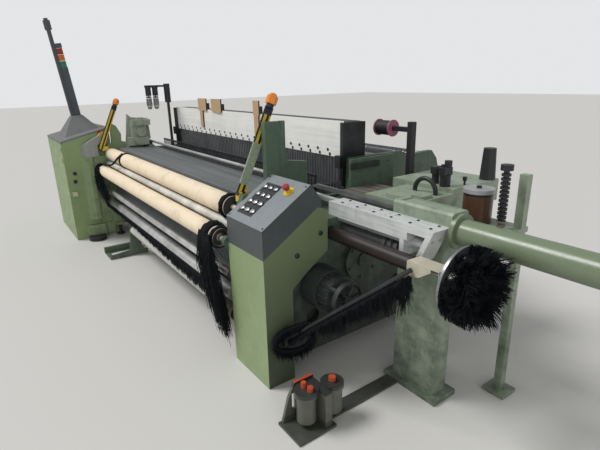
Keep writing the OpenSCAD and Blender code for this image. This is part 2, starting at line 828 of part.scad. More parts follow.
module left_drive_housing() {
    x = -in_x;
    color(green) {
        // Flange on the cheek, then the stepped gear case that overhangs the selvedge
        profile([[-375, 892], [-345, 1075], [-312, 1300], [-272, 1262], [-96, 1245], [-84, 1030],
                 [-140, 990], [-330, 892]], x, x + 24);
        block(x + 23, x + 135, -345, -140, 975, 1058);
        block(x + 23, x + 80, -372, -336, 900, 980);
        block(x + 23, x + 105, -300, -150, 1057, 1190);
        block(x + 23, x + 130, -296, -104, 1180, 1238);
        xbar(96, x + 23, x + 150, -215, 1110);
        xbar(60, x + 134, x + 150, -260, 1012);
        translate([x + 75, -200, 1237]) cylinder(d = 70, h = 22);
        // Disc and fingers of the weft gripper, on the temple's bracket
        xbar(84, -(reed_x + 12) + seat, -(reed_x + 12) + 22, temple_y, 925);
        xbar(60, -(reed_x + 12) + 21, -(reed_x + 12) + 25, temple_y, 925);
        block(-(reed_x + 10), -(reed_x + 2), temple_y + 30, 150, 912, 926);
    }
}

spool_y = 580;
spool_z = 1285;
spool_x0 = in_x - 45;
spool_x1 = out_x + 54;
feeder_x = -in_x - 18;
feeder_y = [-40, 36];
feeder_top = 1475;

// Stands of the weft feeders on the left and of the spool on the right
module yarn_stands() {
    color(black) {
        block(feeder_x - 12, feeder_x + 12, 160, 184, deck_z, 1590);
        translate([feeder_x, 172, 1400]) cylinder(d = 66, h = 200);
        block(feeder_x - 10, feeder_x + 10, feeder_y[0] - 20, 151, 1566, 1586);
        for (y = feeder_y) translate([feeder_x, y, feeder_top]) {
            cylinder(d = 60, h = 86);
            translate([0, 0, 85]) cylinder(d = 70, h = 26);
        }
        block(out_x + 190, out_x + 230, 560, 600, box_top_z + seat, 1335);
        block(spool_x1 + 4, out_x + 191, 565, 595, spool_z - 15, spool_z + 15);
        xbar(16, spool_x0 - 4, spool_x1 + 5, spool_y, spool_z);
    }
}

// Slatted cover on the side frame, and what stands on the table of the yarn feed
slat_n = 7;
slat_pitch = 62;

module table_fittings() {
    color(grey) {
        block(panel_x + 12, box_x - 6, 64, 62 + slat_n * slat_pitch - 120, box_top_z, 941);
        for (k = [0:slat_n - 3])
            block(panel_x + 12, box_x - 6, 70 + k * slat_pitch, 120 + k * slat_pitch, 940, 955);
    }
    color(black) {
        // Tall yarn cone
        translate([case_x1 - 40, table_y1 - 60, table_z]) cylinder(d1 = 92, d2 = 72, h = 186);
        // Yarn brake: body, arm and head
        translate([case_x1 - 84, table_y0 + 34, table_z]) {
            cylinder(d = 60, h = 66);
            translate([-20, -34, 64]) cube([40, 70, 44]);
            translate([0, 20, 100]) cylinder(d = 42, h = 44);
            translate([-34, 0, 70]) cube([20, 20, 50]);
        }
        // Yarn guide beside the brake
        translate([case_x1 - 170, table_y0 + 60, table_z]) {
            cylinder(d = 44, h = 84);
            translate([-16, -30, 60]) cube([32, 60, 40]);
        }
        translate([case_x1 - 36, table_y0 + 150, table_z]) {
            cylinder(d = 12, h = 40);
            translate([0, 0, 24]) cylinder(d = 24, h = 22);
        }
        // Bent pipe over the low case
        translate([gear_x0 - 80, 300, case_z + 10]) rotate([90, 0, 0]) intersection() {
            rotate_extrude() translate([72, 0]) circle(d = 26);
            translate([-100, -10, -20]) cube([200, 120, 40]);
        }
        // Ribbed spring sleeve on its rod
        translate([post_x - 41, 224, shelf_z]) {
            cylinder(d = 26, h = 300);
            for (k = [0:12]) translate([0, 0, 14 + k * 20]) cylinder(d = 42, h = 11);
            translate([0, 0, 280]) cylinder(d = 56, h = 26);
        }
    }
}

module feeder_drum(y) {
    color(steel) translate([feeder_x, y, feeder_top - seat - 118]) {
        cylinder(d = 56, h = 112);
        translate([0, 0, -24]) cylinder(d1 = 34, d2 = 56, h = 25);
        cylinder(d = 14, h = 118);
    }
}

// Line where the grey cap meets the green housing of the console
cap_z0 = con_front_z - cap_t;
cap_back_y = -309;
cap_back_z = cap_z0 + (cap_back_y - con_y0) * con_slope;

module console_shell() {
    color(green) difference() {
        profile([[con_y0, 0], [con_y0, cap_z0], [cap_back_y, cap_back_z], [-286, 958],
                 [con_back_y, 940], [con_back_y, 716], [-383, 624], [-482, 546], [-485, 0]],
            con_x0, con_x1);
        // Recess under the base and two plugged holes in the side panel
        block(con_x0 + 30, con_x1 - 30, con_y0 + 30, -515, -1, 40);
        for (p = [[-452, 733], [-293, 819]]) xbar(26, con_x1 - 4, con_x1 + 1, p[0], p[1]);
    }
}

module console_cap() {
    color(grey) difference() {
        profile([[con_y0, cap_z0], [con_y0, con_front_z], [con_ridge_y, con_ridge_z],
                 [-286, 1012], [-286, 958], [cap_back_y, cap_back_z]], con_x0, con_x1);
        on_slope(cstop_x, cstop_y, cstop_z, con_angle) translate([0, 0, -30]) cylinder(d = 22, h = 40);
    }
}

module console_keys() {
    color(black) for (i = [0:3], j = [0:2])
        on_slope(con_x0 + 70 + 52 * j, con_y0 + 70 + 50 * i, con_front_z + (70 + 50 * i) * con_slope,
            con_angle)
            translate([-key_w / 2, -16, seat]) cube([key_w, 32, 10]);
}

module rapier_guide() {
    y0 = guide_y1 - guide_w;
    x1 = guide_x0 + guide_len;
    roller_y = y0 + 52;
    roller_z = guide_z1 - 145;
    color(steel) difference() {
        union() {
            block(guide_x0, x1 - 150, y0, guide_y1, box_top_z, guide_z1);
            // Front lip, clear of the side frame
            block(box_x + 4, x1 - 190, y0, y0 + 16, guide_z1 - 92, box_top_z + 1);
            // Right end: a web, an open bay and a slanted end wall
            translate([0, guide_y1, 0]) rotate([90, 0, 0]) linear_extrude(guide_w) polygon([
                [x1 - 195, guide_z1], [x1, guide_z1], [x1 - 76, guide_z1 - 170],
                [x1 - 106, guide_z1 - 170], [x1 - 46, guide_z1 - 36], [x1 - 168, guide_z1 - 36],
                [x1 - 168, guide_z1 - 160], [x1 - 195, guide_z1 - 160]]);
            block(x1 - 169, x1 - 60, guide_y1 - 12, guide_y1, guide_z1 - 140, guide_z1 - 35);
            // Roller inside the bay
            xbar(44, x1 - 169, x1 - 80, y0 + 60, guide_z1 - 95);
            // Feed shaft with its rings under the bar
            xbar(44, box_x + seat, x1 - 194, roller_y, roller_z);
            for (x = [x1 - 330, x1 - 290, x1 - 250]) xbar(64, x, x + 20, roller_y, roller_z);
            // Rail that leads on to the shed over the frame's deck
            block(in_x + 15, guide_x0 + 1, gear_y0 - 14, gear_y0 + 22, 910, 932);
        }
        // Parting groove of the inset cover
        block(x1 - 500, x1 - 195, y0 - 1, y0 + 2, guide_z1 - 46, guide_z1 - 42);
        block(x1 - 500, x1 - 496, y0 - 1, y0 + 60, guide_z1 - 46, guide_z1 + 1);
        for (x = [x1 - 600, x1 - 540, x1 - 440, x1 - 400, x1 - 330, x1 - 290], y = [y0 + 44, y0 + 76])
            translate([x, y, guide_z1 - 14]) cylinder(d = 13, h = 20);
        for (y = [y0 + 30, y0 + 84]) xbar(18, x1 - 70, x1 + 1, y, guide_z1 - 60);
    }
}

module rapier_gear_box() {
    color(green) difference() {
        union() {
            block(gear_x0, gear_x1, gear_y0, 82, 860, gear_top_z);
            // Pedestal down to the floor
            block(gear_x0 + 40, gear_x1 - 40, -30, 74, 0, 861);
            block(gear_x0, gear_x1, -60, 110, 0, 30);
            // Low case and raised table of the yarn feed behind the guide
            block(case_x0, case_x1, rod_y + rod_w / 2 + 14, table_y0 + 1, 890, case_z);
            block(table_x0, case_x1, table_y0, table_y1, box_top_z, table_z);
            // Blocks on the case beside the gear box
            block(gear_x0 - 150, gear_x0 - 20, 60, 130, case_z - 1, case_z + 25);
            block(gear_x0 - 170, gear_x0 + 20, 150, 240, case_z - 1, case_z + 18);
            // Shelf for the bobbin pot and the post at its end
            block(case_x1 - 1, post_x + 20, 180, 360, 890, shelf_z);
            block(post_x - 20, post_x + 20, 300, 340, 0, 1170);
            block(post_x - 60, post_x + 60, 260, 380, 0, 20);
        }
        block(gear_x0 - 1, gear_x1 + 1, rod_y - rod_w / 2 - seat, rod_y + rod_w / 2 + seat,
            rod_z - rod_h / 2 - seat, rod_z + rod_h / 2 + seat);
        block(gear_x0 + 55, gear_x1 - 55, -15, 60, -1, 845);
        // Recess for the bright cover plate on top
        block(gear_x0 + 30, gear_x1 - 36, gear_y0 + 22, 66, gear_top_z - 6, gear_top_z + 1);
        // Chamfers along the upper edges
        for (y = [gear_y0, 82]) translate([gear_x0 - 1, y, gear_top_z]) rotate([45, 0, 0])
            translate([0, -8, -8]) cube([gear_x1 - gear_x0 + 2, 16, 16]);
        // Open underside of the table
        block(table_x0 + 150, case_x1 - 20, table_y0 + 20, table_y1 - 20, box_top_z - 1, table_z - 20);
    }
}

module rapier_tube() {
    x0 = gear_x1 + seat;
    color(green) difference() {
        union() {
            xbar(tube_d, x0, x0 + tube_len, tube_y, tube_z);
            xbar(tube_d + 44, x0, x0 + 22, tube_y, tube_z);
            xbar(tube_d + 8, x0 + tube_len - 26, x0 + tube_len, tube_y, tube_z);
        }
        xbar(tube_d - 2 * tube_wall, x0 - 1, x0 + tube_len - 8, tube_y, tube_z);
    }
}

module rapier_rod() {
    color(steel) {
        block(rod_x0, rod_x1, rod_y - rod_w / 2, rod_y + rod_w / 2, rod_z - rod_h / 2, rod_z + rod_h / 2);
        // Tapered gripper head
        translate([0, rod_y + rod_w / 2, 0]) rotate([90, 0, 0]) linear_extrude(rod_w) polygon([
            [rod_x0 + 1, rod_z - rod_h / 2], [rod_x0 - 60, rod_z - rod_h / 2],
            [rod_x0 - 90, rod_z - rod_h / 2 + 6], [rod_x0 - 40, rod_z + rod_h / 2], [rod_x0 + 1, rod_z + rod_h / 2]]);
    }
}

fan_x = box_x + 250;
ring_w = 26;
shaft_y = motor_y - 60;
shaft_z = motor_z + 60;

module drive_motor() {
    color(dark_green) {
        difference() {
            union() {
                xbar(motor_d, box_x + seat, box_x + 130, motor_y, motor_z);
                xbar(motor_d - 50, box_x + 129, box_x + 200, motor_y, motor_z);
                for (k = [0:17]) translate([box_x + 129, motor_y, motor_z]) rotate([k * 20, 0, 0])
                    translate([0, -3, motor_d / 2 - 27]) cube([70, 6, 12]);
            }
            xbar(24, box_x + 150, box_x + 201, motor_y, motor_z);
        }
        // Shaft with its flange above the motor
        xbar(70, box_x + seat, box_x + 24, shaft_y, shaft_z);
        xbar(28, box_x + 23, fan_x - 5, shaft_y, shaft_z);
        // Guard ring on tie rods
        difference() {
            xbar(fan_d + 26, fan_x - 6, fan_x - 6 + ring_w, motor_y, motor_z);
            xbar(fan_d + 8, fan_x - 7, fan_x + ring_w, motor_y, motor_z);
        }
        for (a = [45, 135, 225, 315]) translate([box_x + 199, motor_y, motor_z]) rotate([a, 0, 0])
            translate([0, 0, (fan_d + 16) / 2]) rotate([0, 90, 0]) cylinder(d = 10, h = fan_x - box_x - 199);
    }
}

module motor_fan() {
    color(black) {
        xbar(24 - 2 * run, box_x + 152, fan_x + 14, motor_y, motor_z);
        xbar(46, fan_x - 4, fan_x + 14, motor_y, motor_z);
        for (k = [0:8]) translate([fan_x - 2, motor_y, motor_z]) rotate([k * 40, 0, 0])
            translate([0, -2, 20]) cube([14, 4, fan_d / 2 - 20]);
    }
}

module selvedge_beam() {
    z1 = beam_z + 32;
    y0 = beam_y - 46;
    color([0.20, 0.14, 0.13]) difference() {
        union() {
            xbar(selvedge_beam_d, box_x + seat, beam_x1, beam_y, beam_z);
            // Folded cover over the end: a back plate, a front sheet, a roof and a lip
            block(beam_x1 - 1, beam_x1 + 8, y0, beam_y + 46, beam_z - 42, z1);
            translate([0, y0 + 3, 0]) rotate([90, 0, 0]) linear_extrude(3) polygon([
                [beam_x1 + 4, z1], [beam_x1 + 4, beam_z - 42], [beam_x1 + 72, beam_z - 28],
                [beam_x1 + 132, beam_z + 14], [beam_x1 + 132, z1]]);
            block(beam_x1, beam_x1 + 176, y0, beam_y + 40, z1 - 3, z1);
            block(beam_x1 + 173, beam_x1 + 176, y0, beam_y + 40, z1 - 52, z1);
        }
        xbar(20 + 2 * run, beam_x1 - 60, beam_x1 + 9, beam_y, beam_z);
        xbar(60, beam_x1 + 170, beam_x1 + 180, beam_y, beam_z);
    }
}

wheel_x = beam_x1 + 250;

module waste_wheel() {
    color(steel) {
        xbar(20, beam_x1 - 58, wheel_x + 60, beam_y, beam_z);
        difference() {
            xbar(waste_wheel_d, wheel_x, wheel_x + 12, beam_y, beam_z);
            for (a = [0:60:300]) translate([wheel_x - 1, beam_y, beam_z]) rotate([a, 0, 0])
                translate([0, 0, waste_wheel_d / 3.4]) rotate([0, 90, 0]) cylinder(d = 56, h = 14);
        }
        xbar(70, wheel_x - 20, wheel_x + 40, beam_y, beam_z);
    }
}

bar_a = [con_x1 + seat, -540, 270];
bar_d = 22;
bar_b = [beam_x1 + 40, beam_y - 46 - bar_d / 2 - 2, beam_z + 2];

module waste_fringe() {
    color(black) {
        // Bundle of waste ends that hangs on the outer face of the wheel
        translate([wheel_x + 12 + seat, beam_y, beam_z]) difference() {
            rotate([0, 90, 0]) union() {
                cylinder(d = waste_wheel_d - 20, h = 110);
                translate([0, 0, 109]) cylinder(d1 = waste_wheel_d - 20, d2 = waste_wheel_d - 110, h = 30);
            }
            translate([-1, 0, 0]) rotate([0, 90, 0]) cylinder(d = 76, h = 54);
        }
    }
}

module waste_guide_bar() {
    d = bar_b - bar_a;
    len = norm(d);
    color(grey) {
        translate(bar_a) rotate([0, acos(d[2] / len), atan2(d[1], d[0])]) translate([0, 0, 12])
            cylinder(d = bar_d, h = len - 12);
        // Plate on the console's side that holds its lower end
        block(con_x1 + seat, con_x1 + 30, -566, -514, 244, 300);
    }
}

// Oil filters on their floor bracket
oil_x = gear_x0 + 65;
oil_wall_y = -600;

module oil_canisters() {
    color(grey) difference() {
        union() {
            // Bracket: foot, wall, side flange and the rail that ties it to the gear box
            block(oil_x - 90, oil_x + 90, oil_wall_y - 160, oil_wall_y + 60, 0, 14);
            block(oil_x - 70, oil_x + 80, oil_wall_y, oil_wall_y + 40, 13, 200);
            profile([[oil_wall_y - 150, 0], [oil_wall_y - 110, 140], [oil_wall_y - 70, 215],
                     [oil_wall_y + 40, 215], [oil_wall_y + 40, 0]], oil_x - 84, oil_x - 69);
            block(oil_x - 40, oil_x + 40, oil_wall_y + 59, -60, 0, 12);
            // Filter bowl with its head and fittings
            translate([oil_x, oil_wall_y - 54, 0]) {
                translate([0, 0, 44]) cylinder(d = 96, h = 150);
                translate([0, 0, 186]) cylinder(d = 118, h = 26);
                translate([-20, 0, 211]) cylinder(d = 26, h = 30);
                translate([22, 8, 211]) cylinder(d = 30, h = 24);
            }
            // Second bowl with its filler cap
            translate([oil_x + 20, oil_wall_y + 88, 0]) {
                translate([0, 0, 50]) cylinder(d = 100, h = 140);
                translate([0, 0, 180]) cylinder(d = 116, h = 28);
                translate([0, 0, 207]) cylinder(d = 36, h = 26);
            }
        }
        // Slot in the side flange
        block(oil_x - 85, oil_x - 68, oil_wall_y - 90, oil_wall_y - 70, 70, 160);
    }
}

pot_x = gear_x1 - 68;
pot_y = 252;
post_x = gear_x1 + 120;
shelf_z = 915;

module bobbin_pot() {
    color([0.35, 0.20, 0.10]) translate([pot_x, pot_y, shelf_z + seat]) {
        cylinder(d = 140, h = 150);
        translate([0, 0, 149]) cylinder(d = 148, h = 20);
        translate([0, 0, 168]) cylinder(d = 24, h = 12);
    }
}

module yarn_spool() {
    color([0.18, 0.16, 0.18]) difference() {
        union() {
            xbar(96, spool_x0 + 6, spool_x1 - 6, spool_y, spool_z);
            xbar(110, spool_x0, spool_x0 + 8, spool_y, spool_z);
            xbar(110, spool_x1 - 8, spool_x1, spool_y, spool_z);
        }
        xbar(16 + 2 * run, spool_x0 - 5, spool_x1 + 1, spool_y, spool_z);
    }
}

left_side_frame();
right_side_frame();
cross_beams();
breast_beam();
levelling_feet();
cabinet_body();
cabinet_lid();
cabinet_door();
signal_column();
signal_lenses();
left_control_box();
left_stop_button();
stop_collars();
lamp_posts();
warning_lamps();
left_drive_housing();
yarn_stands();
feeder_drum(feeder_y[0]);  // feeder_drum_1
feeder_drum(feeder_y[1]);  // feeder_drum_2
rear_roller();
press_roller();
front_roller();
draw_roller();
take_up_roller();
cloth_roll();
roll_stands();
cloth_web();
cloth_fringe();
temple_bar();
sley_beam();
reed();
color("whitesmoke") heald_frame(0);  // heald_frame_1
color(steel) heald_frame(1);  // heald_frame_2
color(steel) heald_frame(2);  // heald_frame_3
color(steel) heald_frame(3);  // heald_frame_4
color(steel) heald_frame(4);  // heald_frame_5
stave_clips();
harness_guides();
warp_sheet();
drop_wire_rails();
back_rest_roller();
warp_beam();
console_shell();
console_cap();
console_keys();
console_stop_button();
rapier_guide();
rapier_gear_box();
rapier_tube();
rapier_rod();
drive_motor();
motor_fan();
selvedge_beam();
waste_wheel();
waste_fringe();
waste_guide_bar();
oil_canisters();
bobbin_pot();
table_fittings();
yarn_spool();
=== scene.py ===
import math

import bmesh
import bpy
import numpy as np
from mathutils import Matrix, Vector


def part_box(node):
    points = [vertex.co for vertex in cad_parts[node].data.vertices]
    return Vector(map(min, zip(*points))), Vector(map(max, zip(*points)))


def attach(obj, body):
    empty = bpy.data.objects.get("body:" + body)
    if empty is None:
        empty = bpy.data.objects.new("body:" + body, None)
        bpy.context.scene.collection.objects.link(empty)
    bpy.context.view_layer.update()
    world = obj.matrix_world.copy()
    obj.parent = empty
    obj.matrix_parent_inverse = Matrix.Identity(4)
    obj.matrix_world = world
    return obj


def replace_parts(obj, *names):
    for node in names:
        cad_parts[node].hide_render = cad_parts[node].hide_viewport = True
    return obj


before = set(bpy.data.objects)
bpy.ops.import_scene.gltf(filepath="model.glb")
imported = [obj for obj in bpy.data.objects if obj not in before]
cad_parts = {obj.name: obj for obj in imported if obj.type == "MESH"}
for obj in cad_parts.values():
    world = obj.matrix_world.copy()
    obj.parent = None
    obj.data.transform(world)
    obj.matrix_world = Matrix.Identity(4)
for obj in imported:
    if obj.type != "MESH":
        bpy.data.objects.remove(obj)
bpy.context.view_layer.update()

# Camera: an eye-level view over the console's corner, looking down the cloth side.
# The lens is a short one, and the picture leans a little to the left.
EYE = (3.670, -1.700, 1.600)
TURN = (72.247, 1.250, 54.231)
LENS = 27.08
SENSOR = 36.0
FAR_CLIP = 200.0
camera = bpy.data.objects.new("camera", bpy.data.cameras.new("camera"))
camera.location = EYE
camera.rotation_euler = [math.radians(a) for a in TURN]
camera.data.lens = LENS
camera.data.sensor_width = SENSOR
camera.data.clip_end = FAR_CLIP
bpy.context.scene.collection.objects.link(camera)
bpy.context.scene.camera = camera
bpy.context.scene.view_settings.view_transform = "Standard"

# Floor and light: a plain pale floor under one broad soft lamp from the upper left,
# a low fill and an even pale sky, so that colours come out about as they are written.
FLOOR = (0.62, 0.61, 0.58, 1)
SKY = (0.97, 0.98, 1.0, 1)
SKY_LIGHT = 0.42
SKY_SEEN = 0.80
HALF_FLOOR = 40
floor_mesh = bpy.data.meshes.new("floor")
floor_mesh.from_pydata([(-HALF_FLOOR, -HALF_FLOOR, 0), (HALF_FLOOR, -HALF_FLOOR, 0),
                        (HALF_FLOOR, HALF_FLOOR, 0), (-HALF_FLOOR, HALF_FLOOR, 0)], [], [(0, 1, 2, 3)])
floor = bpy.data.objects.new("floor", floor_mesh)
bpy.context.scene.collection.objects.link(floor)


class Finish:
    """A material in the making. Each maker adds one shader node and returns that node's output.
    A socket among its values is joined to the node, and any other value is set on it."""

    def __init__(self, name):
        self.material = bpy.data.materials.new(name)
        self.material.use_nodes = True
        self.tree = self.material.node_tree
        self.place = self.node("TexCoord", "Object")

    def fill(self, item, inputs):
        """Joins or sets the inputs of a node, by their names or numbers."""
        for key, value in inputs.items():
            if isinstance(value, bpy.types.NodeSocket):
                self.tree.links.new(value, item.inputs[key])
            else:
                item.inputs[key].default_value = value

    def node(self, kind, output, inputs=None, **settings):
        """The named output of a new node with these settings and inputs."""
        item = self.tree.nodes.new("ShaderNode" + kind)
        for key, value in settings.items():
            setattr(item, key, value)
        self.fill(item, inputs or {})
        return item.outputs[output]

    def noise(self, scale, detail, where=None, **more):
        """Cloudy noise, over the object's own coordinates unless where gives others."""
        where = self.place if where is None else where
        return self.node("TexNoise", "Fac", {"Vector": where, "Scale": scale, "Detail": detail, **more})

    def stretched(self, scale):
        """The object's coordinates, each times its own part of scale."""
        return self.node("Mapping", "Vector", {"Vector": self.place, "Scale": scale})

    def span(self, value, low, high, to_low=0.0, to_high=1.0):
        """Value carried evenly from low..high to to_low..to_high, and held at both ends."""
        return self.node("MapRange", "Result", {"Value": value, "From Min": low, "From Max": high,
                                                "To Min": to_low, "To Max": to_high})

    def maths(self, operation, a, b=0.0):
        """One operation of arithmetic on a and b, or on a alone."""
        return self.node("Math", "Value", {0: a, 1: b}, operation=operation)

    def dot(self, a, b):
        """The scalar product of two vectors."""
        return self.node("VectorMath", "Value", {0: a, 1: b}, operation="DOT_PRODUCT")

    def part(self, vector, axis):
        """One coordinate of a vector."""
        return self.node("SeparateXYZ", axis, {"Vector": vector})

    def facing(self, axis):
        """How far a face looks along an axis, from -1 to 1."""
        return self.part(self.node("NewGeometry", "Normal"), axis)

    def mix(self, share, a, b, blend="MIX"):
        """Colour a, with a share of colour b laid over it."""
        return self.node("Mix", "Result", {"Factor": share, "A": a, "B": b}, data_type="RGBA", blend_type=blend)

    def times(self, a, b):
        """Colour a times colour b."""
        return self.mix(1.0, a, b, "MULTIPLY")

    def bump(self, height, strength, distance, **below):
        """A normal that height tilts, on top of another one where below gives its Normal."""
        inputs = {"Height": height, "Strength": strength, "Distance": distance, **below}
        return self.node("Bump", "Normal", inputs)

    def made(self, inputs):
        """The material, once its Principled shader has its inputs."""
        self.fill(self.tree.nodes["Principled BSDF"], inputs)
        return self.material


floor.data.materials.append(Finish("floor_paint").made({"Base Color": FLOOR, "Roughness": 0.6}))

world = bpy.data.worlds.new("sky")
bpy.context.scene.world = world
world.use_nodes = True
sky = world.node_tree.nodes
ray = sky.new("ShaderNodeLightPath")
back = sky["Background"]
back.inputs["Color"].default_value = SKY
level = sky.new("ShaderNodeMapRange")
level.inputs["To Min"].default_value = SKY_LIGHT
level.inputs["To Max"].default_value = SKY_SEEN
world.node_tree.links.new(ray.outputs["Is Camera Ray"], level.inputs["Value"])
world.node_tree.links.new(level.outputs["Result"], back.inputs["Strength"])


def sun(name, strength, towards, angle):
    """A distant lamp whose light travels along towards, angle degrees wide for soft shadows."""
    made = bpy.data.objects.new(name, bpy.data.lights.new(name, "SUN"))
    made.data.energy = strength
    made.data.angle = math.radians(angle)
    made.rotation_euler = Vector(towards).to_track_quat("-Z", "Y").to_euler()
    bpy.context.scene.collection.objects.link(made)


sun("key", 2.1, (0.45, 0.55, -0.95), 24)
sun("fill", 0.5, (-0.8, 0.35, -0.35), 50)


# Cast side frames and their beams: grey iron under satin green enamel. The casting behind the
# console is nearly black, with oil and fly and painted shade, and every corner is worn down to the primer.
GREEN = (0.232, 0.318, 0.142, 1)
GREASE_AND_SHADE = (0.022, 0.026, 0.020, 1)
PRIMER = (0.46, 0.50, 0.42, 1)


def dress(finish, *names):
    """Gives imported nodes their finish, through their objects' own material slots."""
    for name in names:
        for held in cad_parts[name].material_slots:
            held.material = finish


def enamel(name, colour, dirty=0.5, chipped=0.35, rough=0.38, low_grease_and_shade=0.10, low_to=0.6, side_shade_and_smoke=0.0):
    """Paint colour times a soft cloud, grease where a rough noise passes its threshold, grease and
    painted shade that grow below low_to, painted shade with some oil smoke on faces towards +X,
    deeper lower down, primer where a rounded normal leaves the true one, and a faint orange peel."""
    look = Finish(name)
    cloud = look.noise(1.3, 3.0)
    patch = look.noise(9.0, 9.0, Roughness=0.7)
    paint = look.times(colour, look.span(cloud, 0.3, 0.7, 0.92, 1.06))
    height = look.part(look.place, "Z")
    # Grease and painted shade, more of both towards the floor, below low_to.
    low = look.span(height, 0.0, low_to, low_grease_and_shade, 0.0)
    soiled = look.span(look.maths("ADD", patch, low), 0.52, 0.85, 0.0, dirty)
    paint = look.mix(soiled, paint, GREASE_AND_SHADE)
    streak = look.noise(1.0, 4.0, look.stretched((26.0, 26.0, 1.6)))
    paint = look.mix(look.span(streak, 0.55, 0.8, 0.0, dirty * 0.4), paint, GREASE_AND_SHADE)
    # Painted shade, with some oil smoke, on faces towards +X, deeper lower down.
    if side_shade_and_smoke:
        side = look.span(look.facing("X"), 0.4, 0.7)
        rise = look.span(height, 0.2, 0.9, side_shade_and_smoke, side_shade_and_smoke * 0.5)
        paint = look.mix(look.maths("MULTIPLY", side, rise), paint, GREASE_AND_SHADE)
    soft_edge = look.node("Bevel", "Normal", {"Radius": 0.005}, samples=4)
    same = look.dot(soft_edge, look.node("NewGeometry", "Normal"))
    nick = look.span(look.noise(45.0, 6.0, Roughness=0.7), 0.45, 0.62, 0.0, chipped)
    bare = look.maths("MULTIPLY", look.span(same, 0.96, 0.80), nick)
    return look.made({"Base Color": look.mix(bare, paint, PRIMER),
                      "Roughness": look.span(patch, 0.3, 0.7, rough - 0.06, rough + 0.2),
                      "Normal": look.bump(look.noise(160.0, 3.0), 0.05, 0.002)})


# The right frame's near-black green and the grease reaching up from the floor are partly painted shade.
dress(enamel("oily_casting_in_shade", (0.080, 0.125, 0.083, 1), dirty=0.9, rough=0.42, low_grease_and_shade=0.55, low_to=1.05),
      "right_side_frame")
dress(enamel("left_casting", (0.22, 0.30, 0.155, 1), dirty=0.7), "left_side_frame")
dress(enamel("drive_housing_paint", (0.32, 0.36, 0.28, 1), dirty=0.95, chipped=0.9), "left_drive_housing")
dress(enamel("dark_beam_paint", (0.040, 0.050, 0.040, 1), dirty=0.8, rough=0.45),
      "cross_beams", "breast_beam", "sley_beam")
dress(enamel("stand_paint", (0.10, 0.14, 0.09, 1), dirty=0.8), "roll_stands")
dress(enamel("foot_rubber", (0.020, 0.021, 0.022, 1), dirty=0.4, chipped=0.0, rough=0.7), "levelling_feet")

# Control cabinet and the console's body: folded sheet steel in the same green, much cleaner
# than the castings, darker near the floor with grease and painted shade. The gear box and guide tube are painted
# paler.
dress(enamel("cabinet_green", GREEN, dirty=0.22, chipped=0.5), "cabinet_body", "cabinet_door")
# The console's side towards +X gets painted shade with some oil smoke, deeper lower down.
dress(enamel("console_green", (0.262, 0.342, 0.168, 1), dirty=0.12, chipped=0.5, low_grease_and_shade=0.16,
             side_shade_and_smoke=0.84), "console_shell")
dress(enamel("tube_green", (0.175, 0.222, 0.138, 1), dirty=0.15, rough=0.2), "rapier_tube")
# The gear box darkens towards the floor with grease and painted shade.
dress(enamel("gear_box_green", (0.275, 0.335, 0.245, 1), dirty=0.75, low_grease_and_shade=0.22, low_to=1.0),
      "rapier_gear_box")

# Grey lid and hood of the cabinet, the left control box, and the slate signal column: powder
# coated sheet with rubbed corners. Three ribbed lenses, red over orange over green, show its state.
dress(enamel("lid_grey", (0.16, 0.165, 0.165, 1), dirty=0.25, chipped=0.5, rough=0.5), "cabinet_lid")
dress(enamel("control_box_grey", (0.27, 0.28, 0.26, 1), dirty=0.5, chipped=0.5, rough=0.5), "left_control_box")
dress(enamel("column_slate", (0.075, 0.086, 0.10, 1), dirty=0.2, rough=0.5), "signal_column")
FULL_TURN = 6.2832


def banded(name, axis, bands, rough=0.3, rib=0.0):
    """Plain plastic whose colour steps along one object axis: bands are (start in metres, colour)
    from the lowest up, and rib adds fine ridges, rib of them to the metre."""
    look = Finish(name)
    along = look.part(look.place, axis)
    colour = bands[0][1]
    for start, above in bands:
        colour = look.mix(look.maths("GREATER_THAN", along, start), colour, above)
    faded = look.times(colour, look.span(look.noise(16.0, 5.0), 0.3, 0.7, 0.84, 1.1))
    inputs = {"Base Color": faded, "Roughness": rough}
    if rib:
        wave = look.maths("SINE", look.maths("MULTIPLY", along, rib * FULL_TURN))
        inputs["Normal"] = look.bump(wave, 0.4, 0.001)
    return look.made(inputs)


def moulded(name, colour, rough=0.3, rib=0.0):
    """Plain plastic of one colour."""
    return banded(name, "Z", [(0.0, colour)], rough, rib)


dress(banded("column_lens", "Z", [(0.0, (0.02, 0.20, 0.13, 1)), (1.847, (0.62, 0.16, 0.02, 1)),
                                  (1.911, (0.33, 0.03, 0.02, 1))], rib=130), "signal_lenses")

# Lamp posts: flat bars that lean back 25 degrees. Warning stripes run along them, and the
# right one keeps bare green paint on its lower part. Each holds a six-sided orange lamp.
LEAN = math.radians(25)
BAR_BLACK = (0.014, 0.014, 0.016, 1)
BAR_YELLOW = (0.72, 0.50, 0.035, 1)
BAR_GREEN = (0.29, 0.36, 0.25, 1)
SOCKET_BLACK = (0.012, 0.014, 0.028, 1)
HALF_BAR = 0.026
LEFT_MIDDLE, RIGHT_MIDDLE = -0.9743, -0.9009
LEFT_SOCKET, RIGHT_SOCKET = 1.033, 1.148
GREEN_FROM, GREEN_TO = 0.735, 0.98


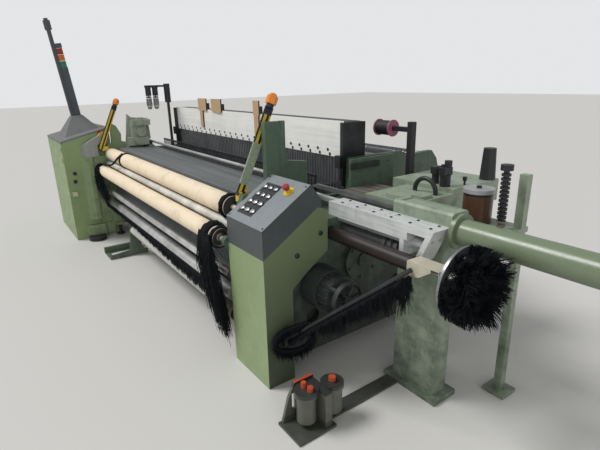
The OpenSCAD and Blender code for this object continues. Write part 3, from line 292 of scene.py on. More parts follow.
def striped_bar(name):
    """Yellow and black bands by the distance across the leaning bar, y cos - z sin, less that
    of the bar's own middle. A stretch along the right bar, y sin + z cos, is green, and each
    bar is black from where its lamp's socket starts."""
    look = Finish(name)
    across = look.dot(look.place, (0, math.cos(LEAN), -math.sin(LEAN)))
    along = look.dot(look.place, (0, math.sin(LEAN), math.cos(LEAN)))
    right = look.maths("GREATER_THAN", look.part(look.place, "X"), 0.0)
    middle = look.span(right, 0.0, 1.0, LEFT_MIDDLE, RIGHT_MIDDLE)
    stripes = look.node("ValToRGB", "Color", {
        "Fac": look.span(look.maths("SUBTRACT", across, middle), -HALF_BAR, HALF_BAR)})
    ramp = stripes.node.color_ramp
    ramp.interpolation = "CONSTANT"
    for spot, colour in ((0.14, BAR_YELLOW), (0.48, BAR_BLACK), (0.80, BAR_YELLOW)):
        ramp.elements.new(spot).color = colour
    ramp.elements[0].color = BAR_BLACK
    ramp.elements[-1].color = BAR_YELLOW
    bare = look.maths("MULTIPLY", look.maths("LESS_THAN", along, GREEN_TO),
                      look.maths("GREATER_THAN", along, GREEN_FROM))
    coat = look.mix(look.maths("MULTIPLY", bare, right), stripes, BAR_GREEN)
    worn = look.span(look.noise(60.0, 6.0), 0.35, 0.7, 1.05, 0.72)
    top = look.span(right, 0.0, 1.0, LEFT_SOCKET, RIGHT_SOCKET)
    held = look.maths("GREATER_THAN", along, top)
    return look.made({"Base Color": look.mix(held, look.times(coat, worn), SOCKET_BLACK), "Roughness": 0.4})


dress(striped_bar("warning_stripes"), "lamp_posts")
dress(moulded("lamp_orange", (0.86, 0.25, 0.02, 1), rough=0.2, rib=180), "warning_lamps")

# Stop buttons: a red mushroom head on a yellow collar, both glossy moulded plastic.
dress(moulded("stop_red", (0.36, 0.03, 0.035, 1), rough=0.25), "left_stop_button", "console_stop_button")
dress(moulded("collar_yellow", (0.74, 0.52, 0.03, 1)), "stop_collars")

# Weft feeders: black heads and post with pale drums, each drum ringed by its yarn store.
# The yarn store is a coil of closed turns that stands a hair off the drum.
dress(enamel("feeder_black", (0.018, 0.019, 0.022, 1), dirty=0.2, chipped=0.3, rough=0.4), "yarn_stands")
dress(banded("feeder_drum_white", "Z", [(0.0, (0.30, 0.31, 0.31, 1)), (1.36, (0.62, 0.62, 0.60, 1)),
                                        (1.455, (0.05, 0.05, 0.055, 1))], rib=150),
      "feeder_drum_1", "feeder_drum_2")


def circle(count):
    """The angles of count points, evenly round a circle."""
    return np.linspace(0, 2 * np.pi, count, endpoint=False)


def loop_faces(rings, sides):
    """Quads between neighbouring rings of a tube whose last ring meets its first."""
    a, b = np.arange(rings)[:, None], np.arange(sides)[None, :]
    beyond, after = (a + 1) % rings, (b + 1) % sides
    quads = np.stack([a * sides + b, a * sides + after, beyond * sides + after, beyond * sides + b], -1)
    return quads.reshape(-1, 4).tolist()


def tube_faces(count, rings, sides):
    """Faces of separate closed tubes, whose points come tube by tube and ring by ring: quads
    between neighbouring rings, and one flat face on each end."""
    first = (np.arange(count) * rings * sides)[:, None, None]
    k = (np.arange(rings - 1) * sides)[None, :, None]
    j = np.arange(sides)
    after = (j + 1) % sides
    quads = np.stack([first + k + j, first + k + after, first + k + sides + after, first + k + sides + j], -1)
    ends = np.concatenate([first[:, 0] + j, first[:, 0] + (rings - 1) * sides + j])
    return quads.reshape(-1, 4).tolist() + ends.tolist()


def carried(path, radius, across=(1.0, 0.0, 0.0), sides=10):
    """A round section carried along a path: at each point the circle of that point's radius
    lies square to the path, turned from the fixed direction across."""
    path = np.asarray(path, float)
    radius = np.broadcast_to(np.asarray(radius, float), len(path))
    along = np.gradient(path, axis=0)
    along /= np.linalg.norm(along, axis=1)[:, None]
    side = np.cross(along, across)
    side /= np.linalg.norm(side, axis=1)[:, None]
    other = np.cross(along, side)
    turn = circle(sides)[None, :, None]
    ring = np.cos(turn) * side[:, None] + np.sin(turn) * other[:, None]
    return (path[:, None] + radius[:, None, None] * ring).reshape(-1, 3), tube_faces(1, len(path), sides)


def place_piece(name, body, points, faces, finish, smooth=True):
    """Makes one object of closed shells from points and faces, with its faces turned outwards,
    gives it its finish and lets a body carry it."""
    mesh = bpy.data.meshes.new(name)
    mesh.from_pydata(np.asarray(points, float).tolist(), [], faces)
    work = bmesh.new()
    work.from_mesh(mesh)
    bmesh.ops.recalc_face_normals(work, faces=work.faces[:])
    work.to_mesh(mesh)
    work.free()
    mesh.polygons.foreach_set("use_smooth", np.full(len(mesh.polygons), smooth))
    made = bpy.data.objects.new(name, mesh)
    bpy.context.scene.collection.objects.link(made)
    mesh.materials.append(finish)
    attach(made, body)
    return made


def gather(parts):
    """Joins (points, faces) pairs into one pair, with each part's face numbers moved up."""
    points, faces, start = [], [], 0
    for some_points, some_faces in parts:
        points.append(some_points)
        faces += [[start + v for v in face] for face in some_faces]
        start += len(some_points)
    return np.concatenate(points), faces


def yarn_finish(name, colour, sheen=0.15):
    """Twisted yarn: a dark matt fibre with small lighter and darker runs and a little sheen."""
    look = Finish(name)
    run = look.span(look.noise(90.0, 5.0), 0.3, 0.7, 0.55, 1.6)
    return look.made({"Base Color": look.times(colour, run), "Roughness": 0.85, "Sheen Weight": sheen,
                      "Specular IOR Level": 0.22, "Normal": look.bump(look.noise(700.0, 2.0), 0.4, 0.001)})


black_yarn = yarn_finish("black_yarn", (0.0035, 0.0048, 0.0072, 1), sheen=0.0)
THIRDS = np.array([0.0, 2.0944, 4.1888])
TAPER_END = 0.4
STRAND_TURN = np.array([0.31, 0.90, 0.23])


def strands(name, body, paths, width):
    """Loose ends of black yarn: each is a three-sided taper carried along its own path, so a corner of
    strand s at step k is paths[s, k] plus width[s] times a taper, in one of three directions."""
    count, steps = paths.shape[:2]
    along = np.gradient(paths, axis=1)
    along /= np.linalg.norm(along, axis=2, keepdims=True) + 1e-9
    side = np.cross(along, STRAND_TURN)
    side /= np.linalg.norm(side, axis=2, keepdims=True) + 1e-9
    other = np.cross(along, side)
    turn = THIRDS[None, None, :, None]
    taper = (width[:, None] * np.linspace(1.0, TAPER_END, steps)[None])[:, :, None, None]
    points = paths[:, :, None] + taper * (np.cos(turn) * side[:, :, None] + np.sin(turn) * other[:, :, None])
    return place_piece(name, body, points.reshape(-1, 3), tube_faces(count, steps, 3), black_yarn, smooth=False)


DRUM_X, DRUM_YS, DRUM_RADIUS = -1.483, (-0.040, 0.036), 0.0305
YARN_RADIUS, YARN_TURNS, YARN_SIDES = 0.0018, 32, 6
STORE_LOW, STORE_HIGH, STORE_TURNS = 1.375, 1.440, 9
turn, section = circle(YARN_TURNS)[:, None], circle(YARN_SIDES)[None, :]
for feeder, drum_y in enumerate(DRUM_YS, 1):
    store = []
    for height in np.linspace(STORE_LOW, STORE_HIGH, STORE_TURNS):
        reach = DRUM_RADIUS + YARN_RADIUS * np.cos(section)
        loop = np.stack(np.broadcast_arrays(DRUM_X + reach * np.cos(turn), drum_y + reach * np.sin(turn),
                                            height + YARN_RADIUS * np.sin(section)), -1)
        store.append((loop.reshape(-1, 3), loop_faces(YARN_TURNS, YARN_SIDES)))
    place_piece(f"yarn_store_{feeder}", f"feeder_{feeder}", *gather(store), black_yarn)


# Rollers, bars and shafts: ground and plated steel with fine turning rings and an oil film.
# Rollers that draw the cloth wear a coat of beige rubber and cork, dirty towards the ends.
def turned_steel(name, colour, rough=0.28, rings=420.0, metal=1.0):
    """Metal whose roughness and bump run in thin rings across X, under a cloudy oil film."""
    look = Finish(name)
    ring = look.noise(1.0, 3.0, look.stretched((rings, 3.0, 3.0)))
    film = look.span(look.noise(6.0, 6.0, Roughness=0.65), 0.35, 0.7, 1.0, 0.55)
    return look.made({"Metallic": metal, "Base Color": look.times(colour, film),
                      "Roughness": look.span(ring, 0.0, 1.0, rough - 0.06, rough + 0.18),
                      "Normal": look.bump(ring, 0.04, 0.001)})


dress(turned_steel("bright_steel", (0.74, 0.74, 0.73, 1), metal=0.7),
      "draw_roller", "take_up_roller", "temple_bar", "back_rest_roller", "drop_wire_rails")
dress(turned_steel("worn_steel", (0.36, 0.365, 0.37, 1), metal=0.7), "waste_wheel", "rapier_rod")
dress(turned_steel("press_roller_steel", (0.86, 0.85, 0.80, 1), rough=0.35, metal=0.2), "press_roller")
END_SOIL = (0.33, 0.29, 0.24, 1)
END_FACE = (0.035, 0.035, 0.036, 1)


def roller_cover(name, colour, soiled=(0.30, 0.25, 0.18, 1), folds=0.0):
    """Cover colour with a fine grain bump, soil in spots and towards the ends, dark flat ends,
    and long folds if asked."""
    look = Finish(name)
    spot = look.span(look.noise(8.0, 7.0, Roughness=0.65), 0.48, 0.8, 0.0, 0.45)
    far = look.maths("ABSOLUTE", look.part(look.place, "X"))
    coat = look.mix(look.span(far, 1.15, 1.42, 0.0, 0.55), look.mix(spot, colour, soiled), END_SOIL)
    flat_end = look.maths("GREATER_THAN", look.maths("ABSOLUTE", look.facing("X")), 0.7)
    fold = look.noise(1.0, 4.0, look.stretched((5.0, 34.0, 34.0)), Distortion=1.2)
    wave = look.bump(fold, folds, 0.02)
    return look.made({"Base Color": look.mix(flat_end, coat, END_FACE), "Roughness": 0.75,
                      "Normal": look.bump(look.noise(420.0, 4.0), 0.25, 0.001, Normal=wave)})


dress(roller_cover("beige_cover", (0.84, 0.71, 0.52, 1)), "rear_roller", "front_roller")
dress(roller_cover("rolled_grey_cloth", (0.50, 0.50, 0.46, 1), (0.22, 0.22, 0.20, 1), folds=0.5), "cloth_roll")

# Yarn that has wound itself round the ends of the two beige rollers: thick black bands with
# an uneven outside, the bundles of ends that hang from them, and one rope between two bands.
REAR_AXIS, REAR_RADIUS = (-0.529, 0.897), 0.065
FRONT_AXIS, FRONT_RADIUS = (-0.652, 0.750), 0.057
BAND_GAP, BORE_INSET = 0.0004, 0.0005
BAND_TURNS, BAND_STEPS = 72, 7


def wound_band(name, body, axis, x0, x1, inner, thick):
    """A ring with a flat bore: its section runs from x0 to x1 and swells from the bore to
    inner + thick, times a bump made of sines of the angle; closed both ways."""
    around = circle(BAND_TURNS)[:, None]
    run = np.linspace(0, 1, BAND_STEPS)[None, :]
    lumps = 1 + 0.18 * np.sin(5 * around + 9 * run) + 0.10 * np.sin(11 * around + 2)
    swell = np.sin(np.pi * run) ** 0.5 * lumps
    outer = inner + BAND_GAP + thick * np.clip(swell, 0.02, 2)
    outer_x = np.broadcast_to(x0 + (x1 - x0) * run, outer.shape)
    bore = np.full((BAND_TURNS, 2), inner + BAND_GAP)
    bore_x = np.broadcast_to([x1 - BORE_INSET, x0 + BORE_INSET], bore.shape)
    r, x = np.concatenate([outer, bore], 1), np.concatenate([outer_x, bore_x], 1)
    points = np.stack([x, axis[0] + r * np.cos(around), axis[1] + r * np.sin(around)], -1)
    place_piece(name, body, points.reshape(-1, 3), loop_faces(BAND_TURNS, BAND_STEPS + 2), black_yarn)


wound_band("rear_band_left", "rear_roller_body", REAR_AXIS, -0.872, -0.838, REAR_RADIUS, 0.009)
wound_band("rear_band_right", "rear_roller_body", REAR_AXIS, 1.286, 1.334, REAR_RADIUS, 0.014)
wound_band("front_band_left", "front_roller_body", FRONT_AXIS, -1.365, -1.300, FRONT_RADIUS, 0.012)
wound_band("front_band_right", "front_roller_body", FRONT_AXIS, 1.262, 1.350, FRONT_RADIUS, 0.020)
wound_band("front_band_end", "front_roller_body", FRONT_AXIS, 1.372, 1.412, FRONT_RADIUS, 0.010)

# Loose ends inside the right side frame, which starts at FRAME_SIDE, stay this side of it.
rng = np.random.default_rng(7)
FRAME_SIDE, STAY_INSIDE = 1.5, 1.489


def hanging(roots, lengths, drift, spread, steps=6):
    """Paths of hanging ends: each falls from its root by its length, moves sideways by its
    drift times the square of the fall in half metres, wavers by spread, and shares part of that
    waver with the others of its tuft."""
    t = np.linspace(0, 1, steps)[None, :, None]
    fall = lengths[:, None, None] * t
    tuft = rng.integers(0, max(len(roots) // 9, 1), len(roots))
    shared = rng.normal(size=(len(roots), 1, 3))[tuft]
    waver = spread * (0.9 * shared + 0.35 * rng.normal(size=(len(roots), 1, 3))) * t
    waver += 0.22 * spread * rng.normal(size=(len(roots), steps, 3)) * t
    paths = roots[:, None] + fall * [0, 0, -1.0] + np.asarray(drift) * (fall / 0.5) ** 2 + waver * [1, 0.35, 0.5]
    inside = roots[:, None, 0] < FRAME_SIDE
    paths[..., 0] = np.where(inside, np.minimum(paths[..., 0], STAY_INSIDE), paths[..., 0])
    return paths


def bundle(name, count, angles, along_x, radius, lengths, drift, spread, widths):
    """Ends that hang from the front roller's bands: their roots lie at radius from its axis,
    between two angles and two places along X. Lengths and widths are (least, most)."""
    angle = rng.uniform(*angles, count)
    roots = np.stack([rng.uniform(*along_x, count), FRONT_AXIS[0] + radius * np.cos(angle),
                      FRONT_AXIS[1] + radius * np.sin(angle)], -1)
    paths = hanging(roots, rng.uniform(*lengths, count), drift, spread)
    strands(name, "frame", paths, rng.uniform(*widths, count))


def rope_path(knots, count, rounds):
    """Points spaced evenly from knot to knot on straight lines. Each round of smoothing moves
    every inner point to half its place and a quarter of each neighbour's."""
    knots = np.array(knots)
    run = np.linspace(0, len(knots) - 1, count)
    path = np.stack([np.interp(run, np.arange(len(knots)), knots[:, a]) for a in range(3)], -1)
    for _ in range(rounds):
        path[1:-1] = 0.5 * path[1:-1] + 0.25 * (path[2:] + path[:-2])
    return path


bundle("left_bundle", 800, (2.4, 3.9), (-1.395, -1.255), 0.072, (0.06, 0.27), (1.1, 0.02, 0.0), 0.040,
       (0.0020, 0.0038))
strand_width = 0.018
draped = rope_path([[-0.860, -0.560, 0.966], [-0.900, -0.600, 0.925], [-1.000, -0.628, 0.850],
                    [-1.150, -0.650, 0.822], [-1.290, -0.668, 0.829], [-1.345, -0.700, 0.814],
                    [-1.362, -0.722, 0.760]], 60, 12)
crossing = place_piece("crossing_strand", "frame",
                       *carried(draped, strand_width / 2, across=(0.1, 0.2, 1.0)), black_yarn)
bundle("right_bundle", 1300, (2.7, 3.9), (1.262, 1.405), 0.078, (0.14, 0.57), (0.140, 0.022, 0.0), 0.042,
       (0.0018, 0.0034))

# Woven cloth: a dense dark fabric held stretched from the fell over the rear roller and down
# to the take-up roller. It is one sheet a little under 3 mm thick, in its solid's place.
cloth_line = np.array([[-0.0605, 0.941], [-0.15, 0.9452], [-0.25, 0.9497], [-0.35, 0.9544], [-0.430, 0.9588],
                       [-0.4485, 0.9585], [-0.4532, 0.954], [-0.4539, 0.940], [-0.4539, 0.82], [-0.4539, 0.706],
                       [-0.480, 0.648], [-0.515, 0.572], [-0.555, 0.484], [-0.5595, 0.462], [-0.5613, 0.440],
                       [-0.5613, 0.399]])
HALF_CLOTH, HALF_CLOTH_THICK = 1.379, 0.0013
CLOTH_COLUMNS = 33


def thick_step(line, half):
    """At each point of a line in Y and Z, the step of length half that is square to it."""
    along = np.gradient(line, axis=0)
    along /= np.linalg.norm(along, axis=1)[:, None]
    return np.stack([-along[:, 1], along[:, 0]], -1) * half


off = thick_step(cloth_line, HALF_CLOTH_THICK)
loop_line = np.concatenate([cloth_line + off, (cloth_line - off)[::-1]])
columns = np.linspace(-HALF_CLOTH, HALF_CLOTH, CLOTH_COLUMNS)[:, None]
points = np.stack(np.broadcast_arrays(columns, loop_line[:, 0], loop_line[:, 1]), -1)
look = Finish("dark_woven_cloth")
warp_grain = look.noise(1.0, 3.0, look.stretched((260.0, 1.2, 1.2)))
weft_bars = look.noise(1.0, 4.0, look.stretched((0.8, 22.0, 22.0)))
shade = look.span(look.maths("MULTIPLY", warp_grain, weft_bars), 0.14, 0.36, 0.50, 1.9)
twill = look.node("TexWave", "Fac", {"Vector": look.place, "Scale": 180.0, "Distortion": 1.0},
                  bands_direction="DIAGONAL")
cloth_finish = look.made({"Base Color": look.times((0.058, 0.068, 0.071, 1), shade), "Roughness": 0.62,
                          "Sheen Weight": 0.2, "Normal": look.bump(twill, 0.15, 0.0006)})
cloth = place_piece("woven_cloth", "frame", points.reshape(-1, 3), tube_faces(1, CLOTH_COLUMNS, len(loop_line)),
                    cloth_finish, smooth=False)
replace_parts(cloth, "cloth_web")

# Cut weft ends below the take-up roller: black yarn that hangs along the whole width, drawn
# into tufts a few centimetres apart, so that its lower edge is ragged.
TUFT_PITCH = 0.034
HALF_FRINGE, FRINGE_Y, FRINGE_TOP = 1.372, -0.6572, 0.402
SHORTEST, LONGEST = 0.02, 0.139
count = 3800
x = np.sort(rng.uniform(-HALF_FRINGE, HALF_FRINGE, count))
tuft = TUFT_PITCH * (np.floor(x / TUFT_PITCH) + 0.5)
size = 0.75 + 0.25 * np.sin(tuft * 61.0) + 0.18 * np.sin(tuft * 23.0)
length = np.interp(x, [-1.38, -0.5, -0.1, 0.5, 1.38], [0.045, 0.050, 0.070, 0.105, 0.140])
length = np.clip(length * (0.72 + 0.28 * size) * rng.uniform(0.72, 1.0, count), SHORTEST, LONGEST)
t = np.linspace(0, 1, 5)[None, :]
pull = (tuft - x)[:, None] * 0.75 * t ** 1.5 + 0.006 * rng.normal(size=(count, 1)) * t
fringe_y = FRINGE_Y - 0.004 * rng.random((count, 1)) - 0.006 * t * rng.random((count, 1))
paths = np.stack([x[:, None] + pull, fringe_y, FRINGE_TOP - length[:, None] * t], -1)
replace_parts(strands("weft_fringe", "frame", paths, rng.uniform(0.0012, 0.0024, count)), "cloth_fringe")

# Sley, reed and heald frames. The white staves are coated aluminium, rubbed along the width.
# Below the staves and on the side rails every frame carries painted shade in near black. The frames
# behind are painted grey as painted shade, with more painted shade on forward faces seen through the holes.
STAVE_FOOT = 1.1085
RAIL_INSIDE = 1.4405
STAVE_SHADE = (0.042, 0.047, 0.052, 1)


def stave_finish(name, colour, face_shade):
    """Matt coat with long thin scratches along X and a little soil, with painted shade in near black
    below the staves, on the side rails, and on forward faces where the last argument is 1."""
    look = Finish(name)
    scratch = look.noise(1.0, 6.0, look.stretched((1.5, 60.0, 60.0)), Roughness=0.6)
    soil = look.noise(5.0, 7.0, Roughness=0.6)
    coat = look.times(colour, look.span(look.maths("MULTIPLY", scratch, soil), 0.15, 0.42, 1.02, 0.86))
    # Painted shade: near black below the staves, on the side rails and, where asked, on forward faces.
    low = look.maths("LESS_THAN", look.part(look.place, "Z"), STAVE_FOOT)
    far = look.maths("ABSOLUTE", look.part(look.place, "X"))
    dark = look.maths("MAXIMUM", low, look.maths("GREATER_THAN", far, RAIL_INSIDE))
    front = look.maths("LESS_THAN", look.facing("Y"), -0.5)
    dark = look.maths("MAXIMUM", dark, look.maths("MULTIPLY", front, face_shade))
    return look.made({"Base Color": look.mix(dark, coat, STAVE_SHADE), "Roughness": 0.5})


dress(stave_finish("front_stave_white", (0.93, 0.925, 0.88, 1), 0.0), "heald_frame_1")
# The rear staves are painted grey as painted shade on the same white coat.
dress(stave_finish("rear_stave_white_in_shade", (0.30, 0.31, 0.32, 1), 1.0),
      "heald_frame_2", "heald_frame_3", "heald_frame_4", "heald_frame_5")
dark_steel = turned_steel("dark_steel", (0.085, 0.09, 0.095, 1), rough=0.4)
dress(dark_steel, "reed", "warp_beam", "harness_guides")
dress(roller_cover("clip_wood", (0.55, 0.37, 0.20, 1)), "stave_clips")

# Plugs in the front stave's two rows of holes: black plastic discs, wider than the holes,
# that stand a millimetre off the stave's face.
HALF_STAVE = 1.4430
STAVE_FACE = 0.245
HOLE_PITCH = 0.110
ALONG_X, ALONG_Y, ALONG_Z = np.eye(3)


def stacks(centres, levels, side, up, out, sides):
    """Closed stacks of oval rings: levels are (half width along side, half height along up,
    distance along out), and every centre gets the same stack."""
    turn = circle(sides)[:, None]
    stack = np.concatenate([a * np.cos(turn) * side + b * np.sin(turn) * up + h * out for a, b, h in levels])
    return gather([(np.asarray(c) + stack, tube_faces(1, len(levels), sides)) for c in centres])


plug_levels = [(r, r, h) for r, h in ((0.0115, 0.0002), (0.0115, 0.0009), (0.0104, 0.0013))]
plug_x = np.arange(0.080 - HALF_STAVE, HALF_STAVE - 0.1195, HOLE_PITCH)
plug_spots = [(x + shift, STAVE_FACE, z) for z, shift in ((1.150, 0.0), (1.122, 0.022)) for x in plug_x]
place_piece("stave_plugs", "heald_1", *stacks(plug_spots, plug_levels, ALONG_X, ALONG_Z, -ALONG_Y, 14),
            moulded("plug_black", (0.012, 0.012, 0.014, 1), rough=0.5), smooth=False)

# Heald wires: thin flat steel wires between the staves, three to each gap of the frame's bars,
# in all five frames. Each has the threads of its own gap passing beside it.
WEB_WIDTH = 2.760
GAPS = 88
PITCH = WEB_WIDTH / GAPS
WIRE_STEP = 0.28
WIRE_FOOT, WIRE_EYE, WIRE_TOP = 0.10, 0.96, 1.1096
WIRE_WAVER = 0.0006
HARNESS_FRONT, HARNESS_PITCH = 0.250, 0.032
gap_x = -WEB_WIDTH / 2 + PITCH * (np.arange(GAPS) + 0.5)
wire_x = (gap_x[:, None] + PITCH * np.array([-WIRE_STEP, 0.0, WIRE_STEP])[None]).ravel()
wire_steel = turned_steel("wire_steel", (0.55, 0.56, 0.57, 1), rough=0.35, metal=0.4)
wire_corners = np.array([[-0.0007, -0.0010], [0.0007, -0.0010], [0.0, 0.0012]])
for number in range(5):
    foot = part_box(f"heald_frame_{number + 1}")[0][2] + WIRE_FOOT
    points = np.zeros((len(wire_x), 3, 3, 3))
    points[..., 0] = wire_x[:, None, None] + wire_corners[:, 0]
    points[:, 1, :, 0] += rng.normal(0, WIRE_WAVER, len(wire_x))[:, None]
    points[..., 1] = HARNESS_FRONT + HARNESS_PITCH * number + wire_corners[:, 1]
    points[..., 2] = np.array([foot, WIRE_EYE, WIRE_TOP])[:, None]
    place_piece(f"heald_wires_{number + 1}", f"heald_{number + 1}", points.reshape(-1, 3),
                tube_faces(len(wire_x), 3, 3), wire_steel, smooth=False)

# Warp: dark threads from the fell through reed and healds, over the back rest and down to the
# beam. They run in the 88 strips that the reed leaves open, ten threads to a strip.
REST_Y, REST_Z, REST_REACH = 1.010, 1.035, 0.0438
arc = np.radians(np.linspace(100, -10, 9))
over_rest = np.stack([REST_Y + REST_REACH * np.cos(arc), REST_Z + REST_REACH * np.sin(arc)], -1)
warp_line = np.concatenate([[[-0.0594, 0.941], [0.180, 0.941], [0.430, 0.941]], over_rest,
                            [[1.0816, 0.512], [1.0816, 0.481]]])
STRIP_WIDTH, STRIP_THREADS = 0.0205, 10
HALF_THREAD, THREAD_THICK = 0.0007, 0.0006
thread_at = STRIP_WIDTH * (np.arange(STRIP_THREADS) - 4.5)[None] / STRIP_THREADS
thread_x = (gap_x[:, None] + thread_at).ravel()
off = thick_step(warp_line, THREAD_THICK / 2)
corners = np.array([(-1, -1), (1, -1), (1, 1), (-1, 1)])
points = np.zeros((len(thread_x), len(warp_line), 4, 3))
points[..., 0] = thread_x[:, None, None] + HALF_THREAD * corners[:, 0]
points[..., 1:] = warp_line[:, None] + corners[:, 1, None] * off[:, None]
warp = place_piece("warp_threads", "frame", points.reshape(-1, 3), tube_faces(len(thread_x), len(warp_line), 4),
                   yarn_finish("warp_yarn", (0.030, 0.034, 0.040, 1)), smooth=False)
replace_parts(warp, "warp_sheet")

# Console cap: grey-blue sheet with a dark bent skirt. On its slope lies a dark plate with
# twelve oval domed metal keys, each in a black rim.
look = Finish("console_cap_paint")
top = look.span(look.facing("Z"), 0.3, 0.6)
coat = look.mix(top, (0.060, 0.072, 0.074, 1), (0.222, 0.240, 0.255, 1))
dust = look.span(look.noise(22.0, 8.0, Roughness=0.7), 0.35, 0.75, 0.92, 1.12)
dress(look.made({"Base Color": look.times(coat, dust), "Roughness": 0.45}), "console_cap")

CAP_FRONT, CAP_LOW, CAP_RISE = -0.654, 0.906, 0.63
SLOPE = math.atan(CAP_RISE)
slope_up = np.array([0, math.cos(SLOPE), math.sin(SLOPE)])
slope_out = np.array([0, -math.sin(SLOPE), math.cos(SLOPE)])
SQUARE = ((0, 0), (1, 0), (1, 1), (0, 1))


def on_cap(x, y):
    """The point of the console's slope above x, y: from its front edge it rises evenly with y."""
    return np.array([x, y, CAP_LOW + CAP_RISE * (y - CAP_FRONT)])


plate_low, plate_high = on_cap(1.549, -0.612), on_cap(1.697, -0.407)
plate = []
for inset, height in ((0.0, 0.0004), (0.0, 0.0016), (0.0012, 0.0022)):
    for u, v in SQUARE:
        x = plate_low[0] + inset + (plate_high[0] - plate_low[0] - 2 * inset) * u
        y = plate_low[1] + inset + (plate_high[1] - plate_low[1] - 2 * inset) * v
        plate.append(on_cap(x, y) + height * slope_out)
place_piece("key_plate", "frame", np.array(plate), tube_faces(1, 3, 4),
            moulded("key_plate_black", (0.030, 0.032, 0.036, 1), rough=0.35), smooth=False)
KEY_X, KEY_Y, KEY_STEP_X, KEY_STEP_Y = 1.571, -0.584, 0.052, 0.050
key_spots = [on_cap(KEY_X + KEY_STEP_X * j, KEY_Y + KEY_STEP_Y * i) for i in range(4) for j in range(3)]
rims = [(0.0235, 0.0178, 0.0024), (0.0235, 0.0178, 0.005), (0.0222, 0.0166, 0.0062)]
domes = [(0.0205, 0.0140, 0.0064), (0.0205, 0.0140, 0.0076), (0.0190, 0.0128, 0.0093), (0.0145, 0.0095, 0.0106),
         (0.0070, 0.0045, 0.0113)]
place_piece("key_rims", "frame", *stacks(key_spots, rims, ALONG_X, slope_up, slope_out, 20),
            moulded("key_rim_black", (0.012, 0.012, 0.013, 1)))
key_domes = place_piece("key_domes", "frame", *stacks(key_spots, domes, ALONG_X, slope_up, slope_out, 20),
                        turned_steel("key_silver", (0.80, 0.81, 0.82, 1), rough=0.22, rings=30.0))
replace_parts(key_domes, "console_keys")


# Screws and bolt heads of the console: six-sided heads with a small chamfer, four on the cap's
# corners and two on the shell's side towards the rapier tube.
def bolt_heads(name, spots, out, radius, height):
    """Hexagons carried out along one direction from each spot: full width, then a chamfer."""
    side = np.cross(out, [0.12, 0.95, 0.27])
    side /= np.linalg.norm(side)
    levels = [(r, r, h) for r, h in ((radius, 0.0002), (radius, height * 0.75), (radius * 0.78, height))]
    up = np.cross(out, side)
    place_piece(name, "frame", *stacks(spots, levels, side, up, out, 6), dark_steel, smooth=False)


bolt_heads("cap_screws", [on_cap(x, y) for x in (1.517, 1.859) for y in (-0.640, -0.372)], slope_out,
           0.0055, 0.003)
bolt_heads("console_side_bolts", [(1.875, -0.294, 0.824), (1.875, -0.448, 0.731)], ALONG_X, 0.014, 0.008)

# Cabinet switches: two black rotary switches, one above the other, and a small pale socket
# under them, on the cabinet's narrow side.
knob_levels = [(r, r, h) for r, h in ((0.019, 0.0002), (0.019, 0.006), (0.013, 0.008), (0.012, 0.022),
                                      (0.010, 0.024))]
knob_spots = [(-1.5010, -0.903, 0.723), (-1.5010, -0.911, 0.639)]
place_piece("cabinet_switches", "frame", *stacks(knob_spots, knob_levels, ALONG_Y, ALONG_Z, ALONG_X, 18),
            moulded("switch_black", (0.015, 0.015, 0.017, 1)))
socket_low, socket_size = np.array([-1.5008, -0.9580, 0.486]), (0.022, 0.050, 0.046)
block = np.array([[x, y, z] for x in (0, 1) for y, z in SQUARE], float)
place_piece("cabinet_socket", "frame", socket_low + block * socket_size, tube_faces(1, 2, 4),
            moulded("socket_cream", (0.55, 0.53, 0.36, 1), rough=0.5), smooth=False)

# Rapier guide: a long milled aluminium housing with two rows of dark screws on its top, over a
# darker oily front.
guide_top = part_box("rapier_guide")[1][2]
look = Finish("milled_aluminium")
under = look.maths("LESS_THAN", look.part(look.place, "Z"), guide_top - 0.078)
inner = look.maths("LESS_THAN", look.part(look.place, "X"), 2.30)
metal = look.mix(look.maths("MULTIPLY", under, inner), (0.68, 0.70, 0.69, 1), (0.16, 0.165, 0.17, 1))
cut = look.noise(1.0, 4.0, look.stretched((4.0, 70.0, 70.0)))
stain = look.noise(14.0, 8.0, Roughness=0.65)
shade = look.span(look.maths("MULTIPLY", cut, stain), 0.16, 0.42, 1.04, 0.74)
dress(look.made({"Base Color": look.times(metal, shade), "Metallic": 0.15, "Roughness": 0.36}), "rapier_guide")
bolt_heads("guide_screws", [(x, y, guide_top) for x in np.arange(1.85, 2.46, 0.12) for y in (-0.060, -0.118)],
           ALONG_Z, 0.008, 0.004)

# Drive motor, selvedge beam and waste wheel. The motor is black with oil; the beam is a dark
# rusty tube that ends in a cream sheet cover; the wheel winds up the waste selvedge.
dress(enamel("motor_black", (0.028, 0.034, 0.032, 1), dirty=0.5, chipped=0.25, rough=0.35), "drive_motor")
dress(moulded("fan_black", (0.012, 0.012, 0.014, 1), rough=0.4), "motor_fan")
dress(banded("beam_rust_and_cream", "X", [(0.0, (0.020, 0.012, 0.011, 1)), (2.4325, (0.52, 0.49, 0.38, 1))],
             rough=0.45), "selvedge_beam")
dress(dark_steel, "waste_guide_bar")

WHEEL_AXIS = np.array([-0.200, 0.800])
REACH_FROM_AXIS = 0.168
CORE_X, CORE_DEPTH, CORE_LEAST, CORE_SWELL = 2.6945, 0.095, 0.080, 0.032
CORE_TURNS, CORE_STEPS = 48, 9
core_turn = circle(CORE_TURNS)[None, :]
core_run = np.linspace(0, 1, CORE_STEPS)[:, None]
core_r = CORE_LEAST + CORE_SWELL * np.sin(np.pi * core_run) ** 0.7
core_r = core_r * (1 + 0.05 * np.sin(7 * core_turn + 5 * core_run))
core = np.stack([np.broadcast_to(CORE_X + CORE_DEPTH * core_run, core_r.shape),
                 WHEEL_AXIS[0] + core_r * np.cos(core_turn), WHEEL_AXIS[1] + core_r * np.sin(core_turn)], -1)
place_piece("waste_core", "waste", core.reshape(-1, 3), tube_faces(1, CORE_STEPS, CORE_TURNS), black_yarn)

